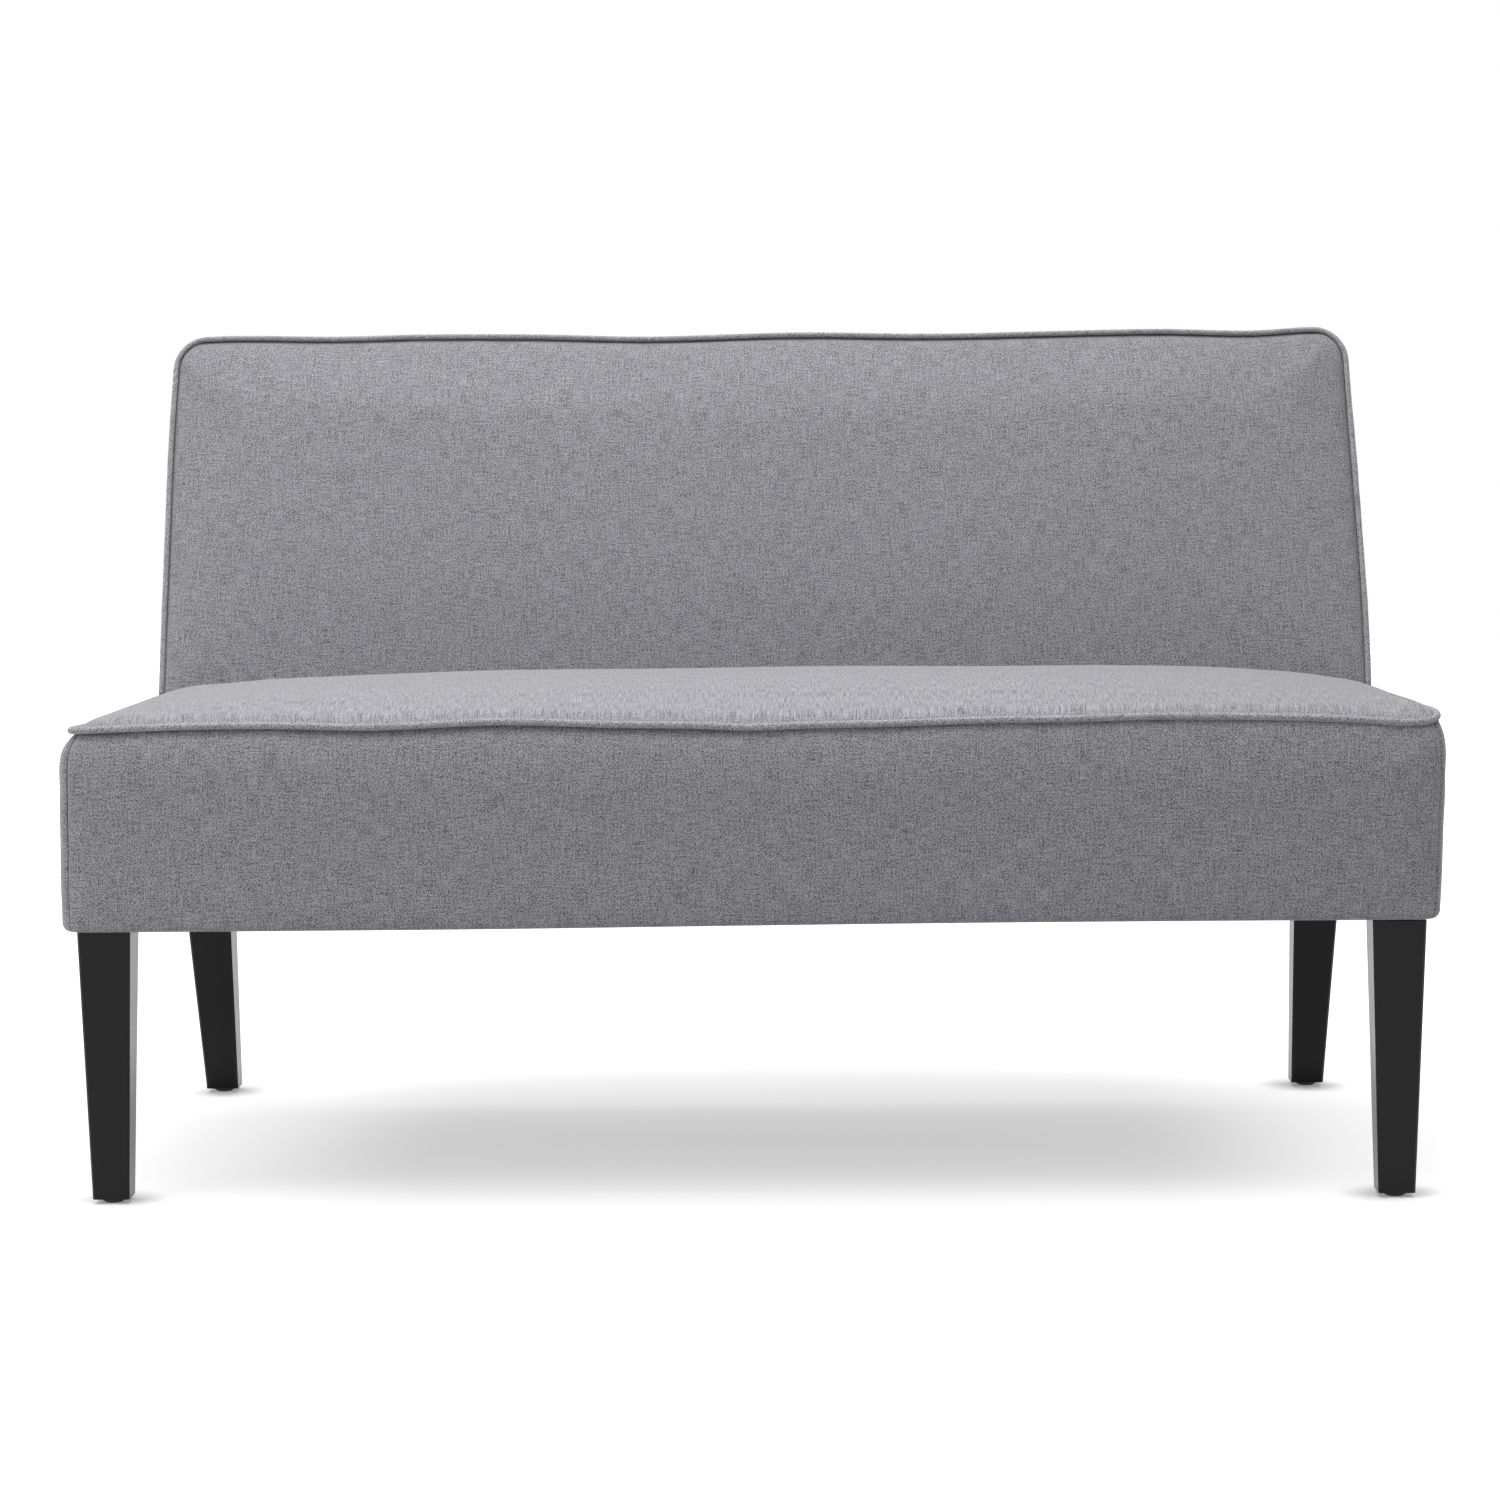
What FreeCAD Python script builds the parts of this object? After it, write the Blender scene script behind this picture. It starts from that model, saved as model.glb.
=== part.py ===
import FreeCAD, Part
import math
import os

# Armless two-seat upholstered settee: a padded box seat on four tapered legs, and a raked, padded back.
# Millimetres. +Z is up, the front faces -Y and +X is to the right as seen from the front.
# Y is measured here from the fullest point of the seat's front. When a piece is written, it moves to the
# middle of the depth.

V = FreeCAD.Vector
UP = V(0, 0, 1)
RIGHT = V(1, 0, 0)
REARWARD = V(0, 1, 0)

# Seat box, over its covers
seat_width = 1300.0
seat_box_depth = 622.0
seat_piping_height = 451.0
seat_corner_radius = 24.0
band_bulge_height = 398.0
band_draw_bottom = 3.3
band_draw_top = 8.0
seat_crown_rise = 34.0
seat_shoulder_run = 120.0
seat_shoulder_rise = 24.0
seat_roll_run = 40.0
seat_roll_rise = 13.0
seat_nose_run = 18.0
seat_front_run = 60.0
seat_fore_run = 150.0
seat_full_run = 290.0

# Back, over its covers
back_side_inset = 7.0
back_length = 406.0
back_thickness = 80.0
back_rake = 19.4
back_corner_radius = 36.0
back_foot_inset = 91.3
back_crown_rise = 16.0
back_shoulder_run = 110.0
back_shoulder_rise = 12.0
back_roll_run = 30.0
back_roll_rise = 6.0
back_flat_height = 30.0
back_low_height = 110.0
back_full_height = 210.0
back_head_drop = 70.0
back_hidden_foot = 40.0

# Covers, padding and piping
cover_thickness = 2.0
front_padding = 8.0
side_padding = 12.0
back_top_padding = 8.0
turn_under_width = 30.0
piping_diameter = 6.0
piping_wall = 4.0
piping_sides = 8
crown_degree = 2
dust_cover_thickness = 1.0
dust_cover_margin = 8.0
soft_gap = 0.3
welt_foot_gap = 0.5
back_foot_gap = 2.0
cutter_reach = 20.0

# Legs and glides
leg_length = 258.8
leg_top_width = 50.7
leg_top_depth = 50.5
leg_foot_width = 34.9
leg_foot_depth = 34.3
leg_edge_chamfer = 2.0
leg_outer_taper = 9.6
leg_side_inset = 13.6
leg_front_inset = 10.0
rear_leg_side_inset = 22.7
rear_leg_rear_inset = 9.8
rear_leg_sweep = 84.5
glide_diameter = 29.0
glide_flat_diameter = 17.0
glide_height = 4.6

# Leg fixings
leg_bolt_diameter = 8.0
leg_bolt_in_leg = 28.0
leg_bolt_in_frame = 30.0
leg_bolt_side = 29.0
leg_bolt_depth = 33.0
bolt_clearance = 0.1

# Seat frame
end_rail_thickness = 25.0
side_rail_thickness = 18.0
rail_height = 104.0
center_rail_thickness = 25.0
center_rail_height = 70.0
center_rail_lift = 6.0
block_leg = 95.0
block_tip = 14.0
block_height = 45.0
strip_width = 8.0
rear_board_gap = 1.0
felt_thickness = 4.0

# Sinuous springs and their clips
spring_count = 5
spring_spacing = 232.0
spring_wire = 3.8
spring_bends = 12
spring_bar_half = 15.0
spring_wire_sides = 6
bend_steps = 3
clip_thickness = 1.2
clip_width = 16.0
clip_base = 13.0
clip_leaf = 8.0
clip_setback = 12.0
clip_bends = 4
wire_clearance = 0.1
tie_wire_diameter = 2.6
tie_wire_spacing = 190.0

# Back frame
post_thickness = 22.0
post_width = 42.0
back_foam_thickness = 28.0
webbing_thickness = 2.0
webbing_width = 60.0
webbing_count = 8
webbing_spacing = 148.0
webbing_lap = 44.0
back_rail_thickness = 22.0
back_rail_height = 60.0
lower_rail_lift = 16.0
upright_width = 60.0
liner_thickness = 2.0
liner_lift = 30.0
lag_diameter = 8.0
lag_spacing = 30.0
lag_in_rail = 14.0
lag_flats = 13.0
lag_head_height = 5.5

# Heights, from the floor up
leg_top = glide_height + leg_length
box_bottom = leg_top + dust_cover_thickness
frame_bottom = box_bottom + cover_thickness
end_rail_top = frame_bottom + rail_height
clip_height = 2 * clip_thickness + spring_wire + 2 * wire_clearance
felt_bottom = end_rail_top + clip_height
foam_bottom = felt_bottom + felt_thickness
piping_radius = piping_diameter / 2
band_top = seat_piping_height - piping_radius

# Plan of the seat frame
half_box = seat_width / 2
frame_half = half_box - cover_thickness - side_padding
frame_front = cover_thickness + front_padding
frame_rear = seat_box_depth - cover_thickness - front_padding
rail_inside = frame_half - side_rail_thickness
inside_front = frame_front + end_rail_thickness
inside_rear = frame_rear - end_rail_thickness
piping_inset = band_draw_top + cover_thickness / 2
cushion_inset = piping_inset + piping_radius

# The back stands in a plane of its own: x across, y up the slope and z out of its front face
slope = math.radians(back_rake)
back_foot_depth = seat_box_depth - back_foot_inset
back_foot_height = band_top + back_foot_gap
half_back = half_box - back_side_inset
post_inside = rail_inside - post_thickness
foam_back = piping_wall + back_foam_thickness
post_front = foam_back + webbing_thickness
liner_front = post_front + post_width
frame_top = back_length - cover_thickness - back_top_padding
back_pipe_inset = cover_thickness / 2 + 1.0
panel_inset = back_pipe_inset + piping_radius

overall_depth = back_foot_depth + back_length * math.sin(slope) + back_thickness * math.cos(slope)

os.makedirs("parts", exist_ok=True)


def write(node, shapes):
    """Move a piece, or a set of like pieces, to the part's own origin and save it."""
    solids = shapes if isinstance(shapes, list) else [shapes]
    moved = [solid.copy() for solid in solids]
    for solid in moved:
        solid.translate(V(0, -overall_depth / 2, 0))
    whole = moved[0] if len(moved) == 1 else Part.makeCompound(moved)
    whole.exportStep("parts/" + node + ".step")


def block(x0, x1, y0, y1, z0, z1):
    """A square-edged board between two corners."""
    return Part.makeBox(x1 - x0, y1 - y0, z1 - z0, V(x0, y0, z0))


def prism(points, height):
    """A flat outline, given by its corners, pushed along one direction."""
    return Part.Face(Part.makePolygon(points + [points[0]])).extrude(height)


def rod(radius, length, start, along):
    return Part.makeCylinder(radius, length, start, along)


def mirrored(shape):
    return shape.mirror(V(0, 0, 0), RIGHT)


def sound(shape):
    """The single solid that a cut or a join leaves, with its leftover seams taken out."""
    clean = shape.removeSplitter()
    return clean.Solids[0] if len(clean.Solids) == 1 else clean


def rounded_outline(x0, x1, y0, y1, radius, z):
    """A rectangle with rounded corners, as four lines and four arcs."""
    k = radius * (1 - math.sqrt(0.5))
    edges = [
        Part.LineSegment(V(x0 + radius, y0, z), V(x1 - radius, y0, z)),
        Part.Arc(V(x1 - radius, y0, z), V(x1 - k, y0 + k, z), V(x1, y0 + radius, z)),
        Part.LineSegment(V(x1, y0 + radius, z), V(x1, y1 - radius, z)),
        Part.Arc(V(x1, y1 - radius, z), V(x1 - k, y1 - k, z), V(x1 - radius, y1, z)),
        Part.LineSegment(V(x1 - radius, y1, z), V(x0 + radius, y1, z)),
        Part.Arc(V(x0 + radius, y1, z), V(x0 + k, y1 - k, z), V(x0, y1 - radius, z)),
        Part.LineSegment(V(x0, y1 - radius, z), V(x0, y0 + radius, z)),
        Part.Arc(V(x0, y0 + radius, z), V(x0 + k, y0 + k, z), V(x0 + radius, y0, z)),
    ]
    return Part.Wire([edge.toShape() for edge in edges])


def place_on_back(shape):
    """Turn a piece drawn flat in the back's own plane up to its rake, at the back's foot."""
    placed = shape.copy()
    placed.rotate(V(0, 0, 0), RIGHT, 90 - back_rake)
    placed.translate(V(0, back_foot_depth, back_foot_height))
    return placed


def above_seat(shape):
    """Trim the foot of a piece of the back level with the top of the seat's bands."""
    below = block(-half_box, half_box, 0, 2 * seat_box_depth, 0, band_top)
    return sound(shape.cut(below))


# Legs and what fixes them


def leg(outer, front_top, front_foot):
    """A tapered square leg on the right-hand side: its front taper crossed with its side taper."""
    foot_outer = outer - leg_outer_taper
    inner = outer - leg_top_width
    foot_inner = foot_outer - leg_foot_width
    rear_top = front_top + leg_top_depth
    rear_foot = front_foot + leg_foot_depth
    low = glide_height
    across = [V(foot_inner, 0, low), V(foot_outer, 0, low), V(outer, 0, leg_top), V(inner, 0, leg_top)]
    along = [V(0, front_foot, low), V(0, rear_foot, low), V(0, rear_top, leg_top), V(0, front_top, leg_top)]
    body = prism(across, V(0, overall_depth, 0)).common(prism(along, V(half_box, 0, 0)))
    upright = [edge for edge in body.Edges if edge.Length > leg_length / 2]
    return body.makeChamfer(leg_edge_chamfer, upright)


def foot_centre(outer, front_foot):
    return V(outer - leg_outer_taper - leg_foot_width / 2, front_foot + leg_foot_depth / 2, 0)


front_leg_outer = half_box - leg_side_inset
rear_leg_outer = half_box - rear_leg_side_inset
rear_leg_front = seat_box_depth - rear_leg_rear_inset - leg_top_depth
front_foot_centre = foot_centre(front_leg_outer, leg_front_inset)
rear_foot_centre = foot_centre(rear_leg_outer, rear_leg_front + rear_leg_sweep)
bolt_x = front_leg_outer - leg_bolt_side
front_bolt_y = leg_front_inset + leg_bolt_depth
rear_bolt_y = frame_rear - leg_bolt_depth


def bored_leg(outer, front_top, front_foot, bolt_y):
    """The leg with the hole for its hanger bolt."""
    start = V(bolt_x, bolt_y, leg_top - leg_bolt_in_leg)
    bore = rod(leg_bolt_diameter / 2 + bolt_clearance, leg_bolt_in_leg, start, UP)
    return leg(outer, front_top, front_foot).cut(bore)


def front_leg():
    return bored_leg(front_leg_outer, leg_front_inset, leg_front_inset, front_bolt_y)


def rear_leg():
    return bored_leg(rear_leg_outer, rear_leg_front, rear_leg_front + rear_leg_sweep, rear_bolt_y)


def glide(centre):
    """A plastic glide: a flat to stand on, a bevelled side and a flat back against the leg's foot."""
    return Part.makeCone(glide_flat_diameter / 2, glide_diameter / 2, glide_height, centre, UP)


def glides():
    places = [V(side * p.x, p.y, 0) for p in (front_foot_centre, rear_foot_centre) for side in (-1, 1)]
    return [glide(place) for place in places]


def bolt_places():
    return [V(x, y, 0) for y in (front_bolt_y, rear_bolt_y) for x in (-bolt_x, bolt_x)]


def leg_bolt(place):
    """A hanger bolt: a rod with one end in the leg and the other up in the corner block."""
    length = leg_bolt_in_leg + leg_bolt_in_frame
    return rod(leg_bolt_diameter / 2, length, place + V(0, 0, leg_top - leg_bolt_in_leg), UP)


# Seat frame


def front_rail():
    return block(-frame_half, frame_half, frame_front, inside_front, frame_bottom, end_rail_top)


def rear_rail():
    return block(-frame_half, frame_half, inside_rear, frame_rear, frame_bottom, end_rail_top)


def side_rail():
    """The right-hand side rail, as high as the clips so that the felt lies level, with bores for screws."""
    rail = block(rail_inside, frame_half, inside_front, inside_rear, frame_bottom, felt_bottom)
    return rail.cut(lag_bores())


def center_rail():
    half = center_rail_thickness / 2
    bottom = frame_bottom + center_rail_lift
    return block(-half, half, inside_front, inside_rear, bottom, bottom + center_rail_height)


def corner_block(rear, left):
    """A glue block in a corner of the frame, cut across at its ends and bored for the leg's bolt."""
    outline = [
        V(0, 0, 0),
        V(block_leg, 0, 0),
        V(block_leg, block_tip, 0),
        V(block_tip, block_leg, 0),
        V(0, block_leg, 0),
    ]
    inward = -1 if rear else 1
    corner_y = inside_rear if rear else inside_front
    bolt_y = rear_bolt_y if rear else front_bolt_y
    points = [V(rail_inside - p.x, corner_y + inward * p.y, frame_bottom) for p in outline]
    body = prism(points, V(0, 0, block_height))
    bore = rod(leg_bolt_diameter / 2 + bolt_clearance, block_height, V(bolt_x, bolt_y, frame_bottom), UP)
    body = body.cut(bore)
    return mirrored(body) if left else body


def front_strip():
    """A batten along the front rail, as high as the clips, that keeps the felt off the clips."""
    return block(-frame_half, frame_half, frame_front, frame_front + strip_width, end_rail_top, felt_bottom)


def rear_board():
    """An upright board on the rear rail, between the posts, that backs the rear band above it."""
    half = post_inside - rear_board_gap
    return block(-half, half, frame_rear - strip_width, frame_rear, end_rail_top, band_top - rear_board_gap)


# Springs


bar_height = end_rail_top + clip_thickness + wire_clearance + spring_wire / 2
first_bar = frame_front + clip_setback
last_bar = frame_rear - clip_setback
bar_pitch = (last_bar - first_bar) / spring_bends
strand_places = [spring_spacing * (n - (spring_count - 1) / 2) for n in range(spring_count)]


def strand_path(middle):
    """Straight bars across the strand, joined by half turns at alternate ends, from front to rear."""
    points = []
    radius = bar_pitch / 2
    for n in range(spring_bends + 1):
        y = first_bar + n * bar_pitch
        side = 1 if n % 2 == 0 else -1
        if n == 0:
            points.append(V(middle - side * spring_bar_half, y, bar_height))
        points.append(V(middle + side * spring_bar_half, y, bar_height))
        if n < spring_bends:
            for step in range(bend_steps):
                turn = math.pi * ((step + 0.5) / bend_steps - 0.5)
                reach = side * (spring_bar_half + radius * math.cos(turn))
                points.append(V(middle + reach, y + radius + radius * math.sin(turn), bar_height))
            points.append(V(middle + side * spring_bar_half, y + bar_pitch, bar_height))
    return Part.makePolygon(points)


def facet_ring(centre, radius, sides):
    """A wire's section across X: a regular outline that lies flat at its top and bottom."""
    turns = [math.tau * (n + 0.5) / sides for n in range(sides + 1)]
    return [centre + V(0, radius * math.sin(turn), radius * math.cos(turn)) for turn in turns]


def spring_strand(middle):
    """One sinuous spring: a single wire swept along its path with mitred turns."""
    path = strand_path(middle)
    ring = facet_ring(path.Vertexes[0].Point, spring_wire / 2, spring_wire_sides)
    return path.makePipeShell([Part.makePolygon(ring)], True, False, 1)


def spring_clip(middle, rear):
    """A bent metal clip: a base on the rail, a hook round the spring's end bar and a leaf over it."""
    radius = spring_wire / 2 + wire_clearance
    outside = radius + clip_thickness

    def hook(reach):
        turns = [math.radians(90 + 180 * (n + 0.5) / clip_bends) for n in range(clip_bends)]
        size = reach / math.cos(math.pi / 2 / clip_bends)
        return [V(0, size * math.cos(turn), outside + size * math.sin(turn)) for turn in turns]

    over = [V(0, clip_leaf, outside + radius), V(0, clip_leaf, 2 * outside)]
    under = [V(0, clip_base, 0), V(0, clip_base, clip_thickness)]
    clip = prism(over + hook(outside) + under + hook(radius)[::-1], V(clip_width, 0, 0))
    clip.translate(V(-clip_width / 2, 0, 0))
    if rear:
        clip.rotate(V(0, 0, 0), UP, 180)
    clip.translate(V(middle, last_bar if rear else first_bar, end_rail_top))
    return clip


def tie_wire(y):
    """A wire laid under the strands from side rail to side rail."""
    flat = math.cos(math.pi / spring_wire_sides)
    z = bar_height - (spring_wire + tie_wire_diameter) / 2 * flat
    ring = facet_ring(V(-rail_inside, y, z), tie_wire_diameter / 2, spring_wire_sides)
    return Part.Face(Part.makePolygon(ring)).extrude(V(2 * rail_inside, 0, 0))


def tie_wires():
    middle = (first_bar + last_bar) / 2
    return [tie_wire(middle - tie_wire_spacing / 2), tie_wire(middle + tie_wire_spacing / 2)]


# Seat covers, padding and cushion


def wall_profile(wall, place):
    """Half of the box's upright section, from its middle line out to its wall, as a face."""
    height = band_top - band_bulge_height
    radius = (band_draw_top**2 + height**2) / (2 * band_draw_top)
    half_drawn = radius - math.sqrt(radius**2 - (height / 2) ** 2)
    bulge = place(wall, band_bulge_height)
    above = place(wall - half_drawn, band_bulge_height + height / 2)
    head = place(wall - band_draw_top, band_top)
    foot = place(wall - band_draw_bottom, box_bottom)
    edges = [
        Part.LineSegment(place(0, box_bottom), foot).toShape(),
        Part.LineSegment(foot, bulge).toShape(),
        Part.Arc(bulge, above, head).toShape(),
        Part.LineSegment(head, place(0, band_top)).toShape(),
        Part.LineSegment(place(0, band_top), place(0, box_bottom)).toShape(),
    ]
    return Part.Face(Part.Wire(edges))


def box_form(inward):
    """The padded box, bulging between its foot and its piping, taken inward from the covers' outside."""
    r = seat_corner_radius
    x = half_box - r
    rear = seat_box_depth - r
    middle = seat_box_depth / 2
    front_wall = wall_profile(middle - inward, lambda out, z: V(-x, middle - out, z))
    right_wall = wall_profile(half_box - inward, lambda out, z: V(out, r, z))
    front = front_wall.extrude(V(2 * x, 0, 0))
    right = right_wall.extrude(V(0, rear - r, 0))
    parts = [front, front.mirror(V(0, middle, 0), REARWARD), right, mirrored(right)]
    for cx in (-x, x):
        for cy in (r, rear):
            corner = wall_profile(r - inward, lambda out, z: V(cx + out, cy, z))
            parts.append(corner.revolve(V(cx, cy, 0), UP, 360))
    return sound(parts[0].fuse(parts[1:]))


def corner_region(where):
    """The share of the box's wall that one panel covers, bounded by the seams at its corners."""
    out = seat_corner_radius
    reach = 5 * seat_corner_radius
    x0, x1 = half_box + out, half_box - reach
    y0, y1 = -out, reach
    y2, y3 = seat_box_depth - reach, seat_box_depth + out
    outlines = {
        "front": [(-x0, y0), (x0, y0), (x1, y1), (-x1, y1)],
        "rear": [(-x0, y3), (-x1, y2), (x1, y2), (x0, y3)],
        "right": [(x0, y0), (x0, y3), (x1, y2), (x1, y1)],
        "left": [(-x0, y0), (-x1, y1), (-x1, y2), (-x0, y3)],
    }
    points = [V(x, y, 0) for x, y in outlines[where]]
    return prism(points, V(0, 0, 2 * seat_piping_height))


def band_ring():
    """The upright covers all round the box, turned under the frame at their lower edge."""
    inner = box_form(cover_thickness)
    foot = block(-half_box, half_box, 0, seat_box_depth, 0, frame_bottom)
    inner = inner.cut(foot)
    t = turn_under_width
    hole = block(-half_box + t, half_box - t, t, seat_box_depth - t, 0, end_rail_top)
    return box_form(0).cut(inner).cut(hole)


def back_plane_cut(gap):
    """All that lies behind the raked front face of the back, from a given gap ahead of it."""
    wide = half_box + cutter_reach
    slab = block(-wide, wide, -seat_piping_height, back_length, -seat_box_depth, gap)
    return place_on_back(slab)


def seat_zone():
    """The room of the seat cushion's lower part: over the felt and ahead of the back."""
    wide = half_box + cutter_reach
    room = block(-wide, wide, -cutter_reach, seat_box_depth, foam_bottom, band_top)
    return room.cut(back_plane_cut(soft_gap))


def padding_ring():
    """Wadding between the frame and the bands, cut away where the cushion lies on it."""
    foot = block(-half_box, half_box, 0, seat_box_depth, 0, frame_bottom)
    frame = block(-frame_half, frame_half, frame_front, frame_rear, 0, 2 * band_top)
    return box_form(cover_thickness + soft_gap).cut(foot).cut(frame).cut(seat_zone())


def crowned(half_width, stations, edge, rise, shoulder, roll):
    """A crowned pad from sections across it: a wall at each side, a roll, and a shallow arc between."""
    wires = []
    for y, share in stations:
        z_shoulder = edge + shoulder[1] * share
        z_roll = edge + roll[1] * share
        x_shoulder = half_width - shoulder[0]
        x_roll = half_width - roll[0]
        left = [V(-half_width, y, edge), V(-x_roll, y, z_roll), V(-x_shoulder, y, z_shoulder)]
        right = [V(x_shoulder, y, z_shoulder), V(x_roll, y, z_roll), V(half_width, y, edge)]
        edges = [
            Part.LineSegment(V(-half_width, y, 0), V(-half_width, y, edge)).toShape(),
            Part.Arc(left[0], left[1], left[2]).toShape(),
            Part.Arc(left[2], V(0, y, edge + rise * share), right[0]).toShape(),
            Part.Arc(right[0], right[1], right[2]).toShape(),
            Part.LineSegment(right[2], V(half_width, y, 0)).toShape(),
            Part.LineSegment(V(half_width, y, 0), V(-half_width, y, 0)).toShape(),
        ]
        wires.append(Part.Wire(edges))
    return Part.makeLoft(wires, True, False, False, crown_degree)


def seat_crown(inward):
    """The crown of the seat above the piping's foot, rolled over on three sides and full at half its depth."""
    front = cushion_inset + inward
    rear = back_foot_depth + seat_roll_run
    near = [(0.0, 0.04), (seat_nose_run, 0.24), (seat_front_run, 0.54)]
    far = [(seat_fore_run, 0.84), (seat_full_run, 0.98), (rear - front, 0.6)]
    stations = [(front + run, share) for run, share in near + far]
    half_width = half_box - front
    shoulder = (seat_shoulder_run, seat_shoulder_rise)
    roll = (seat_roll_run, seat_roll_rise)
    dome = crowned(half_width, stations, piping_wall - inward, seat_crown_rise, shoulder, roll)
    radius = seat_corner_radius - front
    outline = rounded_outline(-half_width, half_width, front, rear + cutter_reach, radius, -cutter_reach)
    dome = dome.common(Part.Face(outline).extrude(V(0, 0, seat_crown_rise + 2 * cutter_reach)))
    dome.translate(V(0, 0, band_top))
    return dome.cut(back_plane_cut(soft_gap))


def seat_foam():
    """The cushion's foam: its drawn-in sides below the piping and its crown above."""
    lower = box_form(cover_thickness + soft_gap).common(seat_zone())
    upper = seat_crown(cover_thickness + soft_gap)
    return sound(lower.fuse(upper))


def seat_top_cover():
    return sound(seat_crown(0).cut(seat_crown(cover_thickness)))


def seat_felt():
    """Hard felt over the springs, from the front batten to the foot of the cushion's rear face."""
    rear = back_foot_depth + (foam_bottom - back_foot_height) * math.tan(slope)
    return block(-frame_half, frame_half, frame_front, rear, felt_bottom, foam_bottom)


def piping_ring(centre):
    """The section of the piping at its start, square to its first run."""
    size = piping_radius / math.cos(math.pi / piping_sides)
    turns = [math.tau * (n + 0.5) / piping_sides for n in range(piping_sides + 1)]
    return Part.makePolygon([centre + V(size * math.sin(turn), 0, size * math.cos(turn)) for turn in turns])


def seat_welt():
    """Piping round the seat's top edge, from the back along one side, the front and the other side."""
    inset = piping_inset
    radius = seat_corner_radius - inset
    x = half_box - inset
    y0 = inset
    y1 = back_foot_depth - piping_radius - soft_gap
    z = seat_piping_height
    k = radius * (1 - math.sqrt(0.5))
    edges = [
        Part.LineSegment(V(-x, y1, z), V(-x, y0 + radius, z)).toShape(),
        Part.Arc(V(-x, y0 + radius, z), V(-x + k, y0 + k, z), V(-x + radius, y0, z)).toShape(),
        Part.LineSegment(V(-x + radius, y0, z), V(x - radius, y0, z)).toShape(),
        Part.Arc(V(x - radius, y0, z), V(x - k, y0 + k, z), V(x, y0 + radius, z)).toShape(),
        Part.LineSegment(V(x, y0 + radius, z), V(x, y1, z)).toShape(),
    ]
    return Part.Wire(edges).makePipeShell([piping_ring(V(-x, y1, z))], True, False, 0)


def dust_cover():
    """A thin cloth stretched under the frame, with a square hole for each leg's bolt."""
    m = dust_cover_margin
    radius = seat_corner_radius - m
    outline = rounded_outline(-half_box + m, half_box - m, m, seat_box_depth - m, radius, leg_top)
    cloth = Part.Face(outline).extrude(V(0, 0, dust_cover_thickness))
    h = leg_bolt_diameter / 2 + soft_gap
    return cloth.cut([block(p.x - h, p.x + h, p.y - h, p.y + h, 0, frame_bottom) for p in bolt_places()])


# Back frame


def height_at(depth, y):
    """The height at which a plane at a given depth in the back passes a given distance from the front."""
    return back_foot_height + (y - back_foot_depth - depth / math.cos(slope)) / math.tan(slope)


post_foot_front = inside_rear - post_width
post_foot = frame_bottom + block_height


def back_post():
    """The right-hand post: upright beside the side rail, then bent back to the rake of the back."""
    rear = post_front + post_width
    top_front = place_on_back(Part.Vertex(0, frame_top, -post_front)).Point
    top_rear = place_on_back(Part.Vertex(0, frame_top, -rear)).Point
    outline = [
        V(post_inside, post_foot_front, post_foot),
        V(post_inside, inside_rear, post_foot),
        V(post_inside, inside_rear, height_at(rear, inside_rear)),
        V(post_inside, top_rear.y, top_rear.z),
        V(post_inside, top_front.y, top_front.z),
        V(post_inside, post_foot_front, height_at(post_front, post_foot_front)),
    ]
    board = prism(outline, V(post_thickness, 0, 0))
    return board.cut(lag_bores())


def back_rail(bottom):
    """A rail of the back between the posts, with its lower edge at a given distance up the slope."""
    depth = post_front + back_rail_thickness
    top = bottom + back_rail_height
    return place_on_back(block(-post_inside, post_inside, bottom, top, -depth, -post_front))


def back_upright():
    """A board between the two rails in the middle of the back."""
    half = upright_width / 2
    bottom = lower_rail_lift + back_rail_height
    top = frame_top - back_rail_height
    depth = post_front + back_rail_thickness
    return place_on_back(block(-half, half, bottom, top, -depth, -post_front))


def lag_places():
    """Where the coach screws stand on the inner face of the right-hand post."""
    middle = (post_foot + felt_bottom) / 2
    y = (post_foot_front + inside_rear) / 2
    return [V(post_inside, y, middle - lag_spacing / 2), V(post_inside, y, middle + lag_spacing / 2)]


def lag_bores():
    length = post_thickness + lag_in_rail
    return [rod(lag_diameter / 2 + bolt_clearance, length, place, RIGHT) for place in lag_places()]


def lag_screw(place):
    """A coach screw: a six-sided head against the post and a shank through it into the side rail."""
    corner = lag_flats / math.sqrt(3)
    turns = [math.radians(60 * n) for n in range(6)]
    ring = [place + V(0, corner * math.cos(turn), corner * math.sin(turn)) for turn in turns]
    head = prism(ring, V(-lag_head_height, 0, 0))
    return sound(head.fuse(rod(lag_diameter / 2, post_thickness + lag_in_rail, place, RIGHT)))


def lag_screws():
    right = [lag_screw(place) for place in lag_places()]
    return right + [mirrored(screw) for screw in right]


# Back covers, padding and cushion


def back_outline(inward, depth, thickness):
    """A slab of the back's outline, taken inward, from a given depth, open at its foot."""
    radius = back_corner_radius - inward
    x = half_back - inward
    foot = -back_hidden_foot - cutter_reach - radius
    wire = rounded_outline(-x, x, foot, back_length - inward, radius, -depth - thickness)
    slab = Part.Face(wire).extrude(V(0, 0, thickness))
    deep = back_thickness + cutter_reach
    return slab.cut(block(-half_box, half_box, foot - cutter_reach, -back_hidden_foot, -deep, cutter_reach))


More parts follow.
